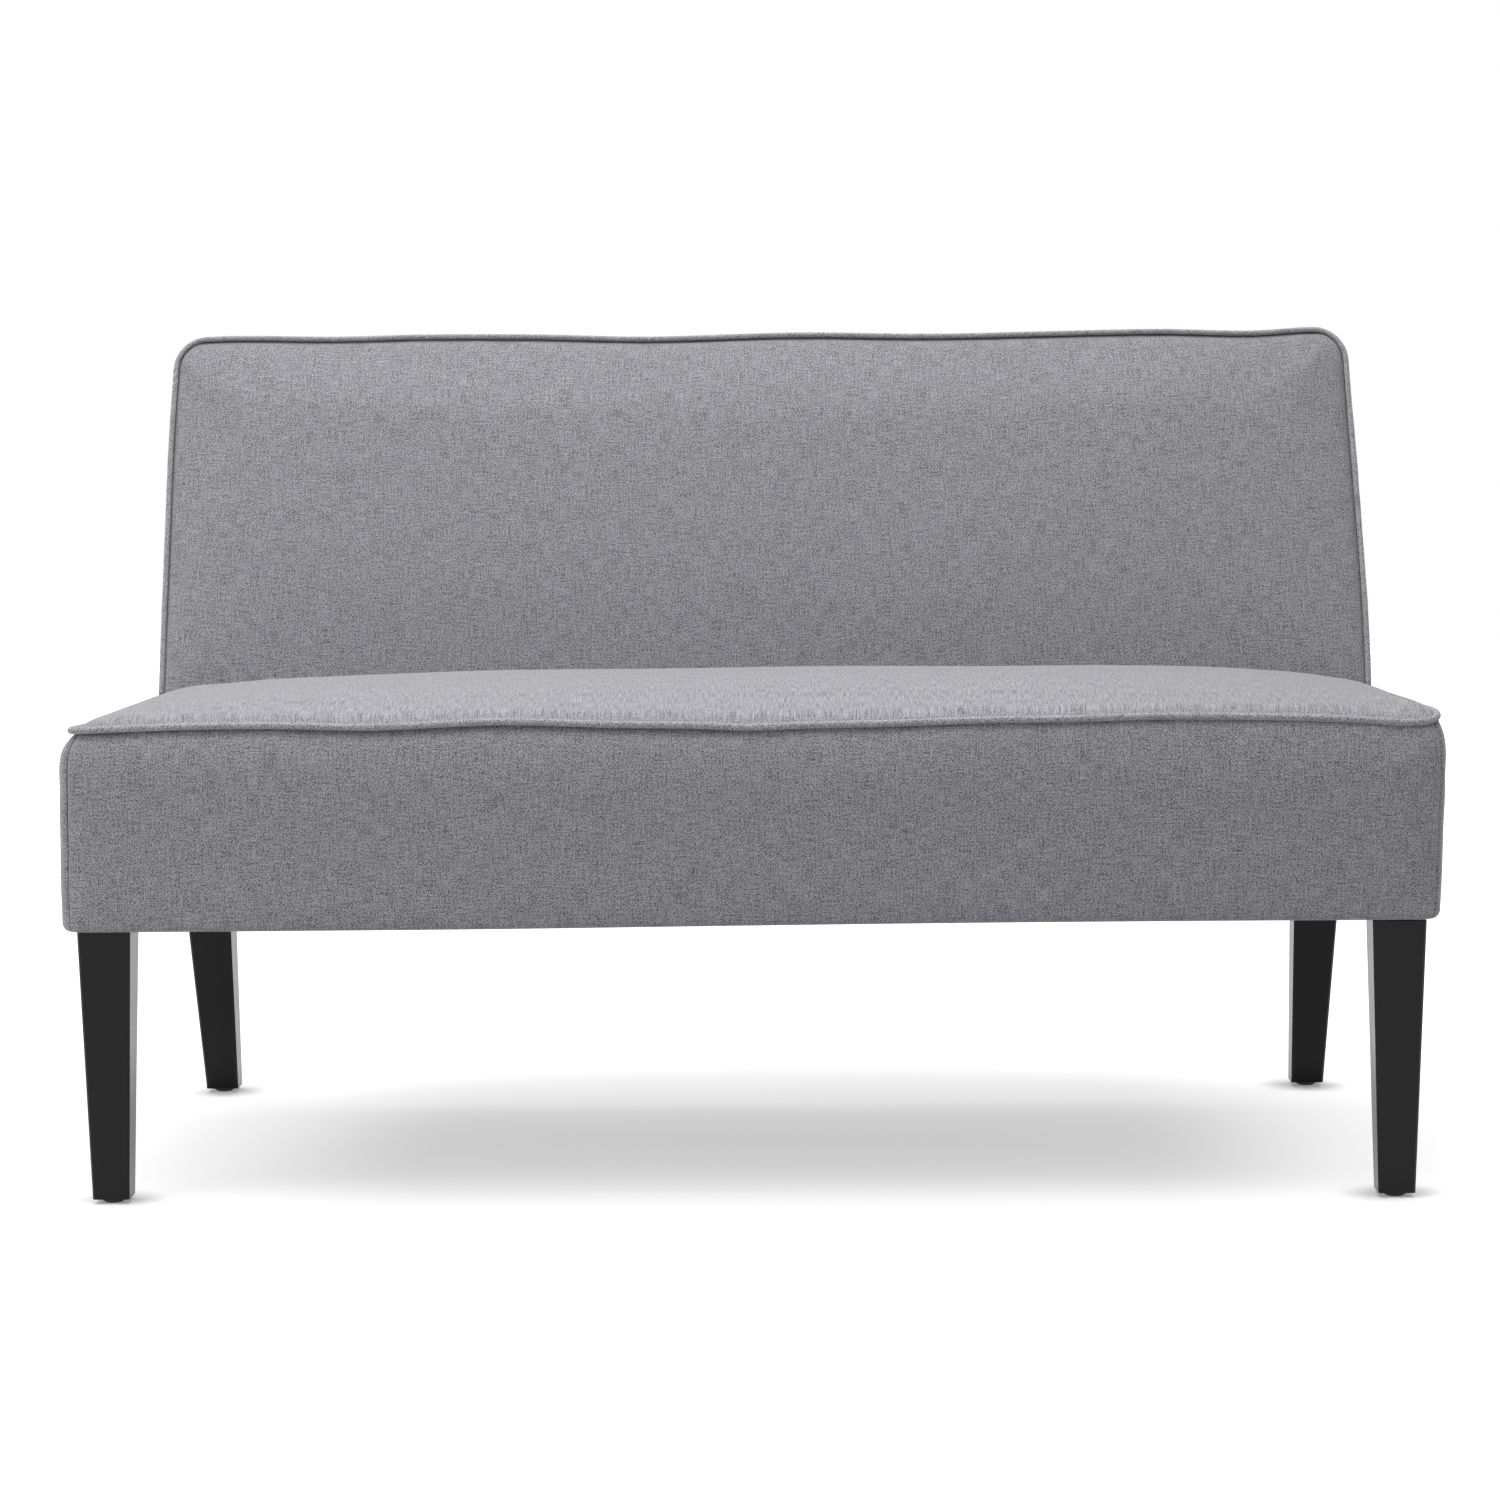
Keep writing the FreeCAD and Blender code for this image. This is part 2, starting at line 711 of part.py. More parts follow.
def back_crown(inward):
    """The crown of the back's front panel: flat where the seat meets it and full at half height."""
    top = back_length - panel_inset - inward
    low = [(-back_hidden_foot, 0.01), (-back_hidden_foot / 8, 0.01), (back_flat_height, 0.014)]
    high = [(back_low_height, 0.6), (back_full_height, 1.0), (top - back_head_drop, 0.85), (top, 0.06)]
    half_width = half_back - panel_inset - inward
    shoulder = (back_shoulder_run, back_shoulder_rise)
    roll = (back_roll_run, back_roll_rise)
    dome = crowned(half_width, low + high, piping_wall - inward, back_crown_rise, shoulder, roll)
    radius = back_corner_radius - panel_inset - inward
    foot = -back_hidden_foot - cutter_reach - radius
    outline = rounded_outline(-half_width, half_width, foot, top, radius, -cutter_reach)
    dome = dome.common(Part.Face(outline).extrude(V(0, 0, back_crown_rise + 2 * cutter_reach)))
    dome.translate(V(0, 0, -piping_wall))
    return dome


def back_foam():
    """The foam over the webbing, with the crown of the front panel."""
    pad = back_outline(cover_thickness + soft_gap, piping_wall, back_foam_thickness)
    crown = back_crown(cover_thickness + soft_gap)
    return above_seat(place_on_back(sound(pad.fuse(crown))))


def back_front_panel():
    return above_seat(place_on_back(sound(back_crown(0).cut(back_crown(cover_thickness)))))


def back_boxing():
    """The strip that runs up one side of the back, over its top and down the other side."""
    depth = back_thickness - cover_thickness - piping_wall
    outside = back_outline(0, piping_wall, depth)
    inside = back_outline(cover_thickness, piping_wall, depth)
    return above_seat(place_on_back(outside.cut(inside)))


def back_rear_panel():
    return above_seat(place_on_back(back_outline(0, back_thickness - cover_thickness, cover_thickness)))


def back_edge_ring():
    """Wadding between the back's frame and its boxing."""
    depth = back_thickness - cover_thickness - foam_back
    ring = back_outline(cover_thickness + soft_gap, foam_back, depth)
    return ring.cut(block(-rail_inside, rail_inside, -back_length, frame_top, -back_thickness, 0))


def back_top_wadding():
    strip = block(-rail_inside, rail_inside, frame_top, back_length, -back_thickness, 0)
    return place_on_back(back_edge_ring().common(strip))


def back_side_wadding():
    strip = block(rail_inside, half_back, -back_length, back_length, -back_thickness, 0)
    return above_seat(place_on_back(back_edge_ring().common(strip)))


def back_liner():
    """Stiff card over the rear of the back's frame."""
    depth = liner_front + liner_thickness
    return place_on_back(block(-rail_inside, rail_inside, liner_lift, frame_top, -depth, -liner_front))


def back_webbing():
    """Upright straps over the front of the two rails."""
    bottom = lower_rail_lift + back_rail_height - webbing_lap
    top = frame_top - back_rail_height + webbing_lap
    straps = []
    for n in range(webbing_count):
        x = webbing_spacing * (n - (webbing_count - 1) / 2)
        strap = block(x - webbing_width / 2, x + webbing_width / 2, bottom, top, -post_front, -foam_back)
        straps.append(place_on_back(strap))
    return straps


def back_welt():
    """Piping round the front edge of the back, up one side, over the top and down the other."""
    inset = back_pipe_inset
    radius = back_corner_radius - inset
    x = half_back - inset
    y0 = welt_foot_gap
    y1 = back_length - inset
    z = piping_radius - piping_wall
    k = radius * (1 - math.sqrt(0.5))
    edges = [
        Part.LineSegment(V(-x, y0, z), V(-x, y1 - radius, z)).toShape(),
        Part.Arc(V(-x, y1 - radius, z), V(-x + k, y1 - k, z), V(-x + radius, y1, z)).toShape(),
        Part.LineSegment(V(-x + radius, y1, z), V(x - radius, y1, z)).toShape(),
        Part.Arc(V(x - radius, y1, z), V(x - k, y1 - k, z), V(x, y1 - radius, z)).toShape(),
        Part.LineSegment(V(x, y1 - radius, z), V(x, y0, z)).toShape(),
    ]
    return place_on_back(Part.Wire(edges).makePipeShell([piping_ring(V(-x, y0, z))], True, False, 0))


# The settee

right_front_leg = front_leg()
right_rear_leg = rear_leg()
write("leg_front_right", right_front_leg)
write("leg_front_left", mirrored(right_front_leg))
write("leg_rear_right", right_rear_leg)
write("leg_rear_left", mirrored(right_rear_leg))
write("leg_glides", glides())
write("leg_bolts", [leg_bolt(place) for place in bolt_places()])

write("seat_front_rail", front_rail())
write("seat_rear_rail", rear_rail())
write("seat_side_rail_right", side_rail())
write("seat_side_rail_left", mirrored(side_rail()))
write("seat_center_rail", center_rail())
write("corner_blocks", [corner_block(rear, left) for rear in (False, True) for left in (False, True)])
write("seat_front_strip", front_strip())
write("seat_rear_board", rear_board())

write("seat_springs", [spring_strand(middle) for middle in strand_places])
write("spring_clips", [spring_clip(middle, rear) for rear in (False, True) for middle in strand_places])
write("spring_tie_wires", tie_wires())
write("seat_felt", seat_felt())

bands = band_ring()
padding = padding_ring()
write("seat_front_band", sound(bands.common(corner_region("front"))))
write("seat_rear_band", sound(bands.common(corner_region("rear"))))
write("seat_side_band_right", sound(bands.common(corner_region("right"))))
write("seat_side_band_left", sound(bands.common(corner_region("left"))))
write("seat_front_wadding", sound(padding.common(corner_region("front"))))
write("seat_rear_wadding", sound(padding.common(corner_region("rear"))))
write("seat_side_wadding_right", sound(padding.common(corner_region("right"))))
write("seat_side_wadding_left", sound(padding.common(corner_region("left"))))
write("seat_foam", seat_foam())
write("seat_top_cover", seat_top_cover())
write("seat_welt", seat_welt())
write("dust_cover", dust_cover())

right_post = back_post()
write("back_post_right", right_post)
write("back_post_left", mirrored(right_post))
write("back_top_rail", back_rail(frame_top - back_rail_height))
write("back_lower_rail", back_rail(lower_rail_lift))
write("back_upright", back_upright())
write("back_screws", lag_screws())
write("back_webbing", back_webbing())
write("back_foam", back_foam())
write("back_top_wadding", back_top_wadding())
right_wadding = back_side_wadding()
write("back_side_wadding_right", right_wadding)
write("back_side_wadding_left", mirrored(right_wadding))
write("back_front_panel", back_front_panel())
write("back_boxing", back_boxing())
write("back_rear_panel", back_rear_panel())
write("back_liner", back_liner())
write("back_welt", back_welt())
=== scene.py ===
import math

import bpy
import numpy as np
from bpy.props import FloatProperty, FloatVectorProperty, IntProperty, PointerProperty
from mathutils import Matrix, Vector, noise


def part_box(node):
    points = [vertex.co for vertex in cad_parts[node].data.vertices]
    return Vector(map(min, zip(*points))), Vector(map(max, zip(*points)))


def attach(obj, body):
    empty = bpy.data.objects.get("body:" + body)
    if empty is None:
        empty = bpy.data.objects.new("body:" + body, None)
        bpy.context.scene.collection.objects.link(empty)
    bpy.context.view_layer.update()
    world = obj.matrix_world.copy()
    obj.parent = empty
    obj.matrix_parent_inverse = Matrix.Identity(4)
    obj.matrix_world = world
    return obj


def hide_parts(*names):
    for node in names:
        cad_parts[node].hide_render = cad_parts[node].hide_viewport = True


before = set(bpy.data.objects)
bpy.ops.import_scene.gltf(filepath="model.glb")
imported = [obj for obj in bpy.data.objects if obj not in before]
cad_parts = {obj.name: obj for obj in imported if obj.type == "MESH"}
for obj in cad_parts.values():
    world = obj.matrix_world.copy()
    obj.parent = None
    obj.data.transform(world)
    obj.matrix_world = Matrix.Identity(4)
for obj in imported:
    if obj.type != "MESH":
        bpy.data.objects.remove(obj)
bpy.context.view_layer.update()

bl_info = {
    "name": "Upholstered settee",
    "version": (1, 0, 0),
    "blender": (4, 5, 0),
    "location": "View3D > Sidebar > Settee",
    "description": "Covers, piping, finishes and a plain studio for an armless upholstered settee",
    "category": "Object",
}

BODY = "root"
WEAVE = "weave"

# The seat's box, as the frame gives it: half its width, its front and rear, its foot and the top of its bands
BAND_LOW, BAND_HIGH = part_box("seat_front_band")
HALF_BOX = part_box("seat_side_band_right")[1].x
BOX_FRONT = BAND_LOW.y
BOX_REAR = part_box("seat_rear_band")[1].y
BOX_FOOT = BAND_LOW.z
BAND_TOP = BAND_HIGH.z

# The radius of the box's corners, the height where its sides are fullest, and how far its cloth turns in below
CORNER = 0.024
BULGE_HEIGHT = 0.398
TURN_UNDER = 0.030
# The stretch behind the seat's front over which its seam levels out and its roll tightens to fit the back
BEHIND_BACK = (0.50, 0.58)

# The piping: the height of its centre on the seat, and how far in from the box's sides it and the seam lie
WELT_LOW, WELT_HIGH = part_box("seat_welt")
WELT_HEIGHT = (WELT_LOW.z + WELT_HIGH.z) / 2
WELT_INSET = 0.009
SEAM_INSET = 0.0115
PIPING_PITCH = 0.006
PIPING_SIDES = 14

# The back leans in a plane of its own: x across, up its slope, and out of its front face. BACK_SET is how far
# behind the seat's front that face meets the seat
RAKE = math.radians(19.4)
BACK_SET = 0.5307
BACK_FOOT = Vector((0.0, BOX_FRONT + BACK_SET, 0.450))
BACK_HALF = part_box("back_boxing")[1].x
BACK_LENGTH = 0.406
BACK_THICKNESS = 0.080
BACK_CORNER = 0.036
BACK_WELT_INSET = 0.002
PANEL_INSET = 0.0028
REAR_INSET = 0.0025
# The height at which the back's sides and rear stand on the seat
SEAT_REST = 0.448
# How far round the front left corner, towards the front, its seam lies beyond the corner's middle
SEAM_TURN = 0.0038

# The cloth under the seat: how far in from the frame's own it ends, its corners' radius and its thickness
UNDERSIDE_INSET = 0.012
UNDERSIDE_CORNER = 0.016
UNDERSIDE_THICKNESS = 0.0009

# The covers' grids: from row to row, from column to column as a share of half the width, and how far from a
# seam the finer rows and columns beside it lie
GRID_PITCH = 0.011
ACROSS_PITCH = 0.0165
BESIDE_SEAM = (0.0008, 0.0018, 0.003, 0.005, 0.008, 0.012, 0.018, 0.026)

# How far the piping stands above its level run, along the seat's front from left to right, and along its two
# sides from front to rear
FRONT_LIFT = (
    (-0.641, 0.0005),
    (-0.570, 0.0030),
    (-0.450, 0.0044),
    (-0.362, 0.0020),
    (-0.232, 0.0062),
    (-0.110, 0.0026),
    (-0.050, 0.0016),
    (0.000, -0.0006),
    (0.050, 0.0008),
    (0.127, 0.0020),
    (0.237, 0.0048),
    (0.300, 0.0050),
    (0.377, 0.0068),
    (0.472, 0.0058),
    (0.530, 0.0042),
    (0.577, 0.0016),
    (0.613, -0.0008),
    (0.641, -0.0004),
)
LEFT_LIFT = ((-0.020, 0.0005), (0.025, 0.0005), (0.090, -0.0016), (0.200, -0.0032), (0.600, -0.0050))
RIGHT_LIFT = ((-0.020, 0.0005), (0.035, 0.0068), (0.09, 0.0060), (0.20, 0.0028), (0.35, 0.0), (0.60, -0.0050))

# How far the back's top edge stands above its level run, left to right
TOP_LIFT = (
    (-0.643, 0.0),
    (-0.590, 0.0021),
    (-0.457, 0.0004),
    (-0.369, 0.0019),
    (-0.238, 0.0006),
    (-0.120, -0.0031),
    (-0.018, -0.0010),
    (0.030, 0.0),
    (0.200, -0.0029),
    (0.330, -0.0010),
    (0.440, 0.0001),
    (0.545, -0.0027),
    (0.609, 0.0008),
    (0.643, 0.0),
)
# How far the sides of the back stand out beyond its plain width, from its foot to its top
LEFT_SWELL = (
    (-0.05, -0.0014),
    (0.20, -0.0016),
    (0.28, -0.0020),
    (0.33, -0.0032),
    (0.37, -0.0044),
    (0.42, -0.0044),
)
RIGHT_SWELL = ((-0.05, 0.0088), (0.05, 0.010), (0.12, 0.0092), (0.22, 0.0058), (0.35, 0.001), (0.42, -0.001))

# How far the two sides of the seat's box stand out beyond its plain width, from its foot to its piping, and how
# far its foot hangs below its plain level, from left to right
LEFT_BULGE = ((0.264, 0.0035), (0.3, 0.0038), (0.34, 0.003), (0.4, 0.0024), (0.43, 0.0016), (0.45, -0.0012))
RIGHT_BULGE = (
    (0.264, 0.0018),
    (0.300, 0.0032),
    (0.350, 0.0045),
    (0.400, 0.0064),
    (0.425, 0.0066),
    (0.450, 0.0064),
)
FOOT_HANG = ((-0.65, 0.0041), (-0.48, 0.0040), (-0.25, 0.0035), (0.00, 0.0016), (0.20, 0.0004), (0.65, 0.0))

# The seat's crown: its height, and how the share of it grows inwards from the left, right and front seams
CROWN_HEIGHT = 0.0332
LEFT_CROWN = (
    (0.0, 0.0),
    (0.004, 0.075),
    (0.010, 0.25),
    (0.018, 0.405),
    (0.030, 0.485),
    (0.072, 0.56),
    (0.118, 0.69),
    (0.196, 0.80),
    (0.319, 0.905),
    (0.442, 0.975),
    (0.640, 1.0),
)
RIGHT_CROWN = (
    (0.0, 0.0),
    (0.004, 0.22),
    (0.010, 0.33),
    (0.030, 0.435),
    (0.072, 0.64),
    (0.118, 0.775),
    (0.196, 0.92),
    (0.319, 0.995),
    (0.442, 1.0),
    (0.640, 1.0),
)
FRONT_CROWN = (
    (0.0, 0.0),
    (0.006, 0.13),
    (0.015, 0.32),
    (0.035, 0.50),
    (0.060, 0.63),
    (0.100, 0.76),
    (0.150, 0.875),
    (0.275, 1.0),
)
# How far behind the front seam the crown is full, and how far behind that it would reach nothing
FULL_RUN = 0.275
FALL_RUN = 0.380

# The back's crown: its height, and how the share of it changes down from the top seam and in from the sides
BACK_CROWN_HEIGHT = 0.0200
HEAD_CROWN = (
    (0.0, 0.0),
    (0.010, 0.22),
    (0.030, 0.46),
    (0.070, 0.86),
    (0.130, 0.985),
    (0.200, 1.0),
    (0.300, 0.80),
    (0.360, 0.48),
    (0.420, 0.10),
)
SIDE_CROWN = ((0.0, 0.0), (0.01, 0.24), (0.03, 0.44), (0.07, 0.66), (0.13, 0.82), (0.30, 0.95), (0.64, 1.0))

# Where the front and rear foot of one side stand
FEET = ((0.609, -0.343, 0.0), (0.600, 0.293, 0.0))

# The wall of the seat's box: how far in it lies at each height
WALL = (
    (0.2689, 0.0016),
    (0.330, 0.0006),
    (0.398, 0.0),
    (0.410, 0.0),
    (0.422, 0.0004),
    (0.431, 0.0019),
    (0.437, 0.0042),
    (0.442, 0.0077),
    (0.446, 0.0112),
    (0.4490, 0.0140),
)


class SetteeCloth(bpy.types.PropertyGroup):
    """The cloth and how it is sewn."""

    pale_yarn: FloatVectorProperty(
        name="Pale yarn",
        description="The lighter yarn of the cloth",
        subtype="COLOR",
        default=(0.362, 0.357, 0.381),
    )
    dark_yarn: FloatVectorProperty(
        name="Dark yarn",
        description="The darker yarn of the cloth",
        subtype="COLOR",
        default=(0.062, 0.061, 0.068),
    )
    yarn_pitch: FloatProperty(
        name="Yarn pitch", description="From one yarn to the next", unit="LENGTH", default=0.0008
    )
    slub_length: FloatProperty(
        name="Slub length",
        description="Usual length of a thick or dark stretch of yarn",
        unit="LENGTH",
        default=0.010,
    )
    thickness: FloatProperty(
        name="Thickness", description="Thickness of the covers", unit="LENGTH", default=0.0016
    )
    piping_radius: FloatProperty(
        name="Piping radius", description="Half the diameter of the piping", unit="LENGTH", default=0.0033
    )
    seam_dip: FloatProperty(
        name="Seam dip", description="How deep a plain seam lies in the cover", unit="LENGTH", default=0.0016
    )
    pucker: FloatProperty(
        name="Pucker", description="How far the cover draws up beside a seam", unit="LENGTH", default=0.0011
    )


class SetteePadding(bpy.types.PropertyGroup):
    """How the padded covers fill out."""

    settle_frames: IntProperty(name="Steps", description="Steps of the cloth's settling", default=20)
    pressure: FloatProperty(name="Pressure", description="How hard the padding pushes outwards", default=1.6)
    most_swell: FloatProperty(
        name="Most swell",
        description="Furthest that the cover may move as it settles",
        unit="LENGTH",
        default=0.0015,
    )


class SetteeStudio(bpy.types.PropertyGroup):
    """The lights and the floor."""

    key_power: FloatProperty(name="Key", description="Power of the lamp above", unit="POWER", default=65.0)
    fill_power: FloatProperty(
        name="Fill", description="Power of the lamp at the left", unit="POWER", default=18.0
    )
    sky_strength: FloatProperty(name="Sky", description="Brightness of the room's sides", default=0.18)
    floor_shade: FloatProperty(
        name="Floor", description="How pale the floor is", subtype="FACTOR", default=0.57
    )


def on_back(x, up, out):
    """A point of the back's own plane, in the frame."""
    y = BACK_FOOT.y + up * math.sin(RAKE) - out * math.cos(RAKE)
    return Vector((x, y, BACK_FOOT.z + up * math.cos(RAKE) + out * math.sin(RAKE)))


def through(points):
    """A smooth curve through points in order: a function from a point's first number to its second."""
    xs = np.array([p[0] for p in points])
    ys = np.array([p[1] for p in points])
    steps = np.diff(ys) / np.diff(xs)
    inner = (steps[:-1] * np.diff(xs)[1:] + steps[1:] * np.diff(xs)[:-1]) / (xs[2:] - xs[:-2])
    slopes = np.concatenate([[steps[0]], inner, [steps[-1]]])

    def curve(x):
        x = min(max(x, xs[0]), xs[-1])
        n = min(int(np.searchsorted(xs, x, side="right")) - 1, len(xs) - 2)
        width = xs[n + 1] - xs[n]
        t = (x - xs[n]) / width
        rise = ys[n] * (1 + 2 * t) * (1 - t) ** 2 + ys[n + 1] * t * t * (3 - 2 * t)
        return float(rise + width * (slopes[n] * t * (1 - t) ** 2 - slopes[n + 1] * t * t * (1 - t)))

    return curve


front_lift = through(FRONT_LIFT)
left_lift = through(LEFT_LIFT)
right_lift = through(RIGHT_LIFT)
top_lift = through(TOP_LIFT)
left_swell = through(LEFT_SWELL)
right_swell = through(RIGHT_SWELL)
left_bulge = through(LEFT_BULGE)
right_bulge = through(RIGHT_BULGE)
foot_hang = through(FOOT_HANG)
left_crown = through(LEFT_CROWN)
right_crown = through(RIGHT_CROWN)
front_crown = through(FRONT_CROWN)
head_crown = through(HEAD_CROWN)
side_crown = through(SIDE_CROWN)
wall = through(WALL)


def ease(low, high, value):
    """A smooth step from 0 at low to 1 at high."""
    t = min(max((value - low) / (high - low), 0.0), 1.0)
    return t * t * (3 - 2 * t)


def ripple(u, v, size, seed):
    """Soft unevenness between -1 and 1, over lengths of about the given size."""
    return noise.noise(Vector((u / size, v / size, seed)))


def corner_cut(radius, run):
    """How far in the edge of a rounded corner lies, at a run from the side where the corner ends."""
    if run >= radius:
        return 0.0
    return radius - math.sqrt(radius**2 - (radius - run) ** 2)


def pillow(first, second):
    """The share of a crown where two of its sides have reached the given shares of it."""
    if first <= 0 or second <= 0:
        return 0.0
    return first * second / (first**3 + second**3 - (first * second) ** 3) ** (1 / 3)


def bulged(x, z):
    """The place across the seat of a point, once the box's sides have filled out."""
    share = (abs(x) / HALF_BOX) ** 4
    return x - left_bulge(z) * share if x < 0 else x + right_bulge(z) * share


def seam_lift(x, y):
    """How far the seat's top seam stands above its level run at the point of it nearest to a place."""
    depth = y - BOX_FRONT
    side = (left_lift(depth) if x < 0 else right_lift(depth)) * (1 - ease(*BEHIND_BACK, depth))
    front = front_lift(x)
    to_side = HALF_BOX - abs(x)
    share = ease(-CORNER, CORNER, depth - to_side)
    return front * (1 - share) + side * share


# Meshes


def spread(start, stop, pitch, fine=()):
    """Numbers from start to stop about a pitch apart, with finer ones at given distances from both ends."""
    count = max(2, round((stop - start) / pitch))
    plain = [start + (stop - start) * n / count for n in range(count + 1)]
    ends = [start + f for f in fine] + [stop - f for f in fine]
    reach = max(fine, default=0) + pitch / 2
    middle = [p for p in plain if start + reach < p < stop - reach]
    return sorted({round(p, 6) for p in [start, stop] + ends + middle})


def lengths_along(points, axis):
    """Running length along one direction of a grid of points, averaged over the other."""
    steps = np.linalg.norm(np.diff(points, axis=axis), axis=2).mean(axis=1 - axis)
    return np.concatenate([[0.0], np.cumsum(steps)])


def grid_normals(points):
    """Normals of a grid of points, pointing to the side from which its rows run right and its columns up."""
    normals = np.cross(np.gradient(points, axis=1), np.gradient(points, axis=0))
    size = np.linalg.norm(normals, axis=2, keepdims=True)
    return normals / np.maximum(size, 1e-12)


def new_piece(name, vertices, faces, weave, material):
    """A mesh object with its weave coordinates, which gives one pair of numbers for each face corner."""
    mesh = bpy.data.meshes.new(name)
    mesh.from_pydata([tuple(v) for v in vertices], [], faces)
    layer = mesh.uv_layers.new(name=WEAVE)
    layer.data.foreach_set("uv", np.asarray(weave, dtype=np.float32).ravel())
    mesh.polygons.foreach_set("use_smooth", [True] * len(mesh.polygons))
    mesh.validate()
    mesh.update()
    piece = bpy.data.objects.new(name, mesh)
    bpy.context.scene.collection.objects.link(piece)
    mesh.materials.append(material)
    return piece


def grid_faces(rows, columns):
    """The faces of a grid and the corners' rows and columns."""
    faces = []
    for r in range(rows - 1):
        for c in range(columns - 1):
            faces.append([(r, c), (r, c + 1), (r + 1, c + 1), (r + 1, c)])
    return faces


def open_cover(name, points, material):
    """A cover with no thickness, from a grid of points."""
    rows, columns = points.shape[:2]
    u = lengths_along(points, 1)
    v = lengths_along(points, 0)
    corners = grid_faces(rows, columns)
    faces = [[r * columns + c for r, c in face] for face in corners]
    weave = [(u[c], v[r]) for face in corners for r, c in face]
    return new_piece(name, points.reshape(-1, 3), faces, weave, material)


def cover(name, points, thickness, material, weave_from=(0.0, 0.0)):
    """A cover of even thickness, from the grid of points of its outer side: a closed shell."""
    rows, columns = points.shape[:2]
    inner = points - grid_normals(points) * thickness
    u = lengths_along(points, 1) + weave_from[0]
    v = lengths_along(points, 0) + weave_from[1]
    count = rows * columns
    corners = grid_faces(rows, columns)
    faces = [[r * columns + c for r, c in face] for face in corners]
    weave = [(u[c], v[r]) for face in corners for r, c in face]
    faces += [[count + r * columns + c for r, c in reversed(face)] for face in corners]
    weave += [(u[c], v[r]) for face in corners for r, c in reversed(face)]
    rim = [(0, c) for c in range(columns)] + [(r, columns - 1) for r in range(1, rows)]
    rim += [(rows - 1, c) for c in range(columns - 2, -1, -1)] + [(r, 0) for r in range(rows - 2, 0, -1)]
    for n, (r, c) in enumerate(rim):
        r2, c2 = rim[(n + 1) % len(rim)]
        near, far = r * columns + c, r2 * columns + c2
        faces.append([far, near, count + near, count + far])
        weave += [(u[c2], v[r2]), (u[c], v[r]), (u[c], v[r]), (u[c2], v[r2])]
    vertices = np.concatenate([points.reshape(-1, 3), inner.reshape(-1, 3)])
    return new_piece(name, vertices, faces, weave, material)


def tube(name, path, radius, sides, material):
    """A round tube along a path of points, with closed ends, and its skin wound on the bias."""
    path = np.asarray(path, dtype=float)
    ahead = np.gradient(path, axis=0)
    ahead /= np.linalg.norm(ahead, axis=1, keepdims=True)
    across = Vector((0, 0, 1)).cross(Vector(ahead[0])).normalized()
    if abs(ahead[0][2]) > 0.9:
        across = Vector((0, 1, 0)).cross(Vector(ahead[0])).normalized()
    vertices = []
    for point, direction in zip(path, ahead):
        direction = Vector(direction)
        across = (across - direction * across.dot(direction)).normalized()
        other = direction.cross(across)
        for side in range(sides):
            turn = math.tau * side / sides
            vertices.append(Vector(point) + (across * math.cos(turn) + other * math.sin(turn)) * radius)
    run = np.concatenate([[0.0], np.cumsum(np.linalg.norm(np.diff(path, axis=0), axis=1))])
    girth = math.tau * radius / sides
    faces, weave = [], []
    for n in range(len(path) - 1):
        near, far = n * sides, (n + 1) * sides
        for side in range(sides):
            after = (side + 1) % sides
            faces.append([near + side, far + side, far + after, near + after])
            here, there = side * girth, (side + 1) * girth
            corners = [(run[n], here), (run[n + 1], here), (run[n + 1], there), (run[n], there)]
            weave += [((a + b) * math.sqrt(0.5), (a - b) * math.sqrt(0.5)) for a, b in corners]
    last = (len(path) - 1) * sides
    faces.append(list(range(sides)))
    faces.append([last + side for side in reversed(range(sides))])
    weave += [(0.0, 0.0)] * (2 * sides)
    return new_piece(name, vertices, faces, weave, material)


def settle(points, foot, head, side, padding):
    """A cover's grid of points after its cloth has settled over the padding.

    So many of its rows at the foot and at the head, and of its columns at each side, are held.
    """
    held = np.zeros(points.shape[:2], dtype=bool)
    held[:foot] = held[-head:] = held[:, :side] = held[:, -side:] = True
    piece = open_cover("settling", points, bpy.data.materials[0])
    group = piece.vertex_groups.new(name="held")
    group.add(np.flatnonzero(held).tolist(), 1.0, "REPLACE")
    cloth = piece.modifiers.new("cloth", "CLOTH")
    cloth.settings.vertex_group_mass = "held"
    cloth.settings.use_pressure = True
    cloth.settings.uniform_pressure_force = padding.pressure
    cloth.settings.effector_weights.gravity = 0
    cloth.settings.tension_stiffness = 12
    cloth.settings.compression_stiffness = 12
    cloth.settings.bending_stiffness = 0.6
    cloth.settings.air_damping = 4
    cloth.collision_settings.use_collision = False
    cloth.collision_settings.use_self_collision = False
    scene = bpy.context.scene
    cloth.point_cache.frame_start = 1
    cloth.point_cache.frame_end = padding.settle_frames
    for step in range(1, padding.settle_frames + 1):
        scene.frame_set(step)
    settled = piece.evaluated_get(bpy.context.evaluated_depsgraph_get()).to_mesh()
    moved = np.zeros(len(settled.vertices) * 3)
    settled.vertices.foreach_get("co", moved)
    moved = moved.reshape(points.shape) - points
    scene.frame_set(1)
    mesh = piece.data
    bpy.data.objects.remove(piece)
    bpy.data.meshes.remove(mesh)
    size = np.linalg.norm(moved, axis=2, keepdims=True)
    most = padding.most_swell
    return points + moved / np.maximum(size, 1e-9) * most * np.tanh(size / most)


# Shaders


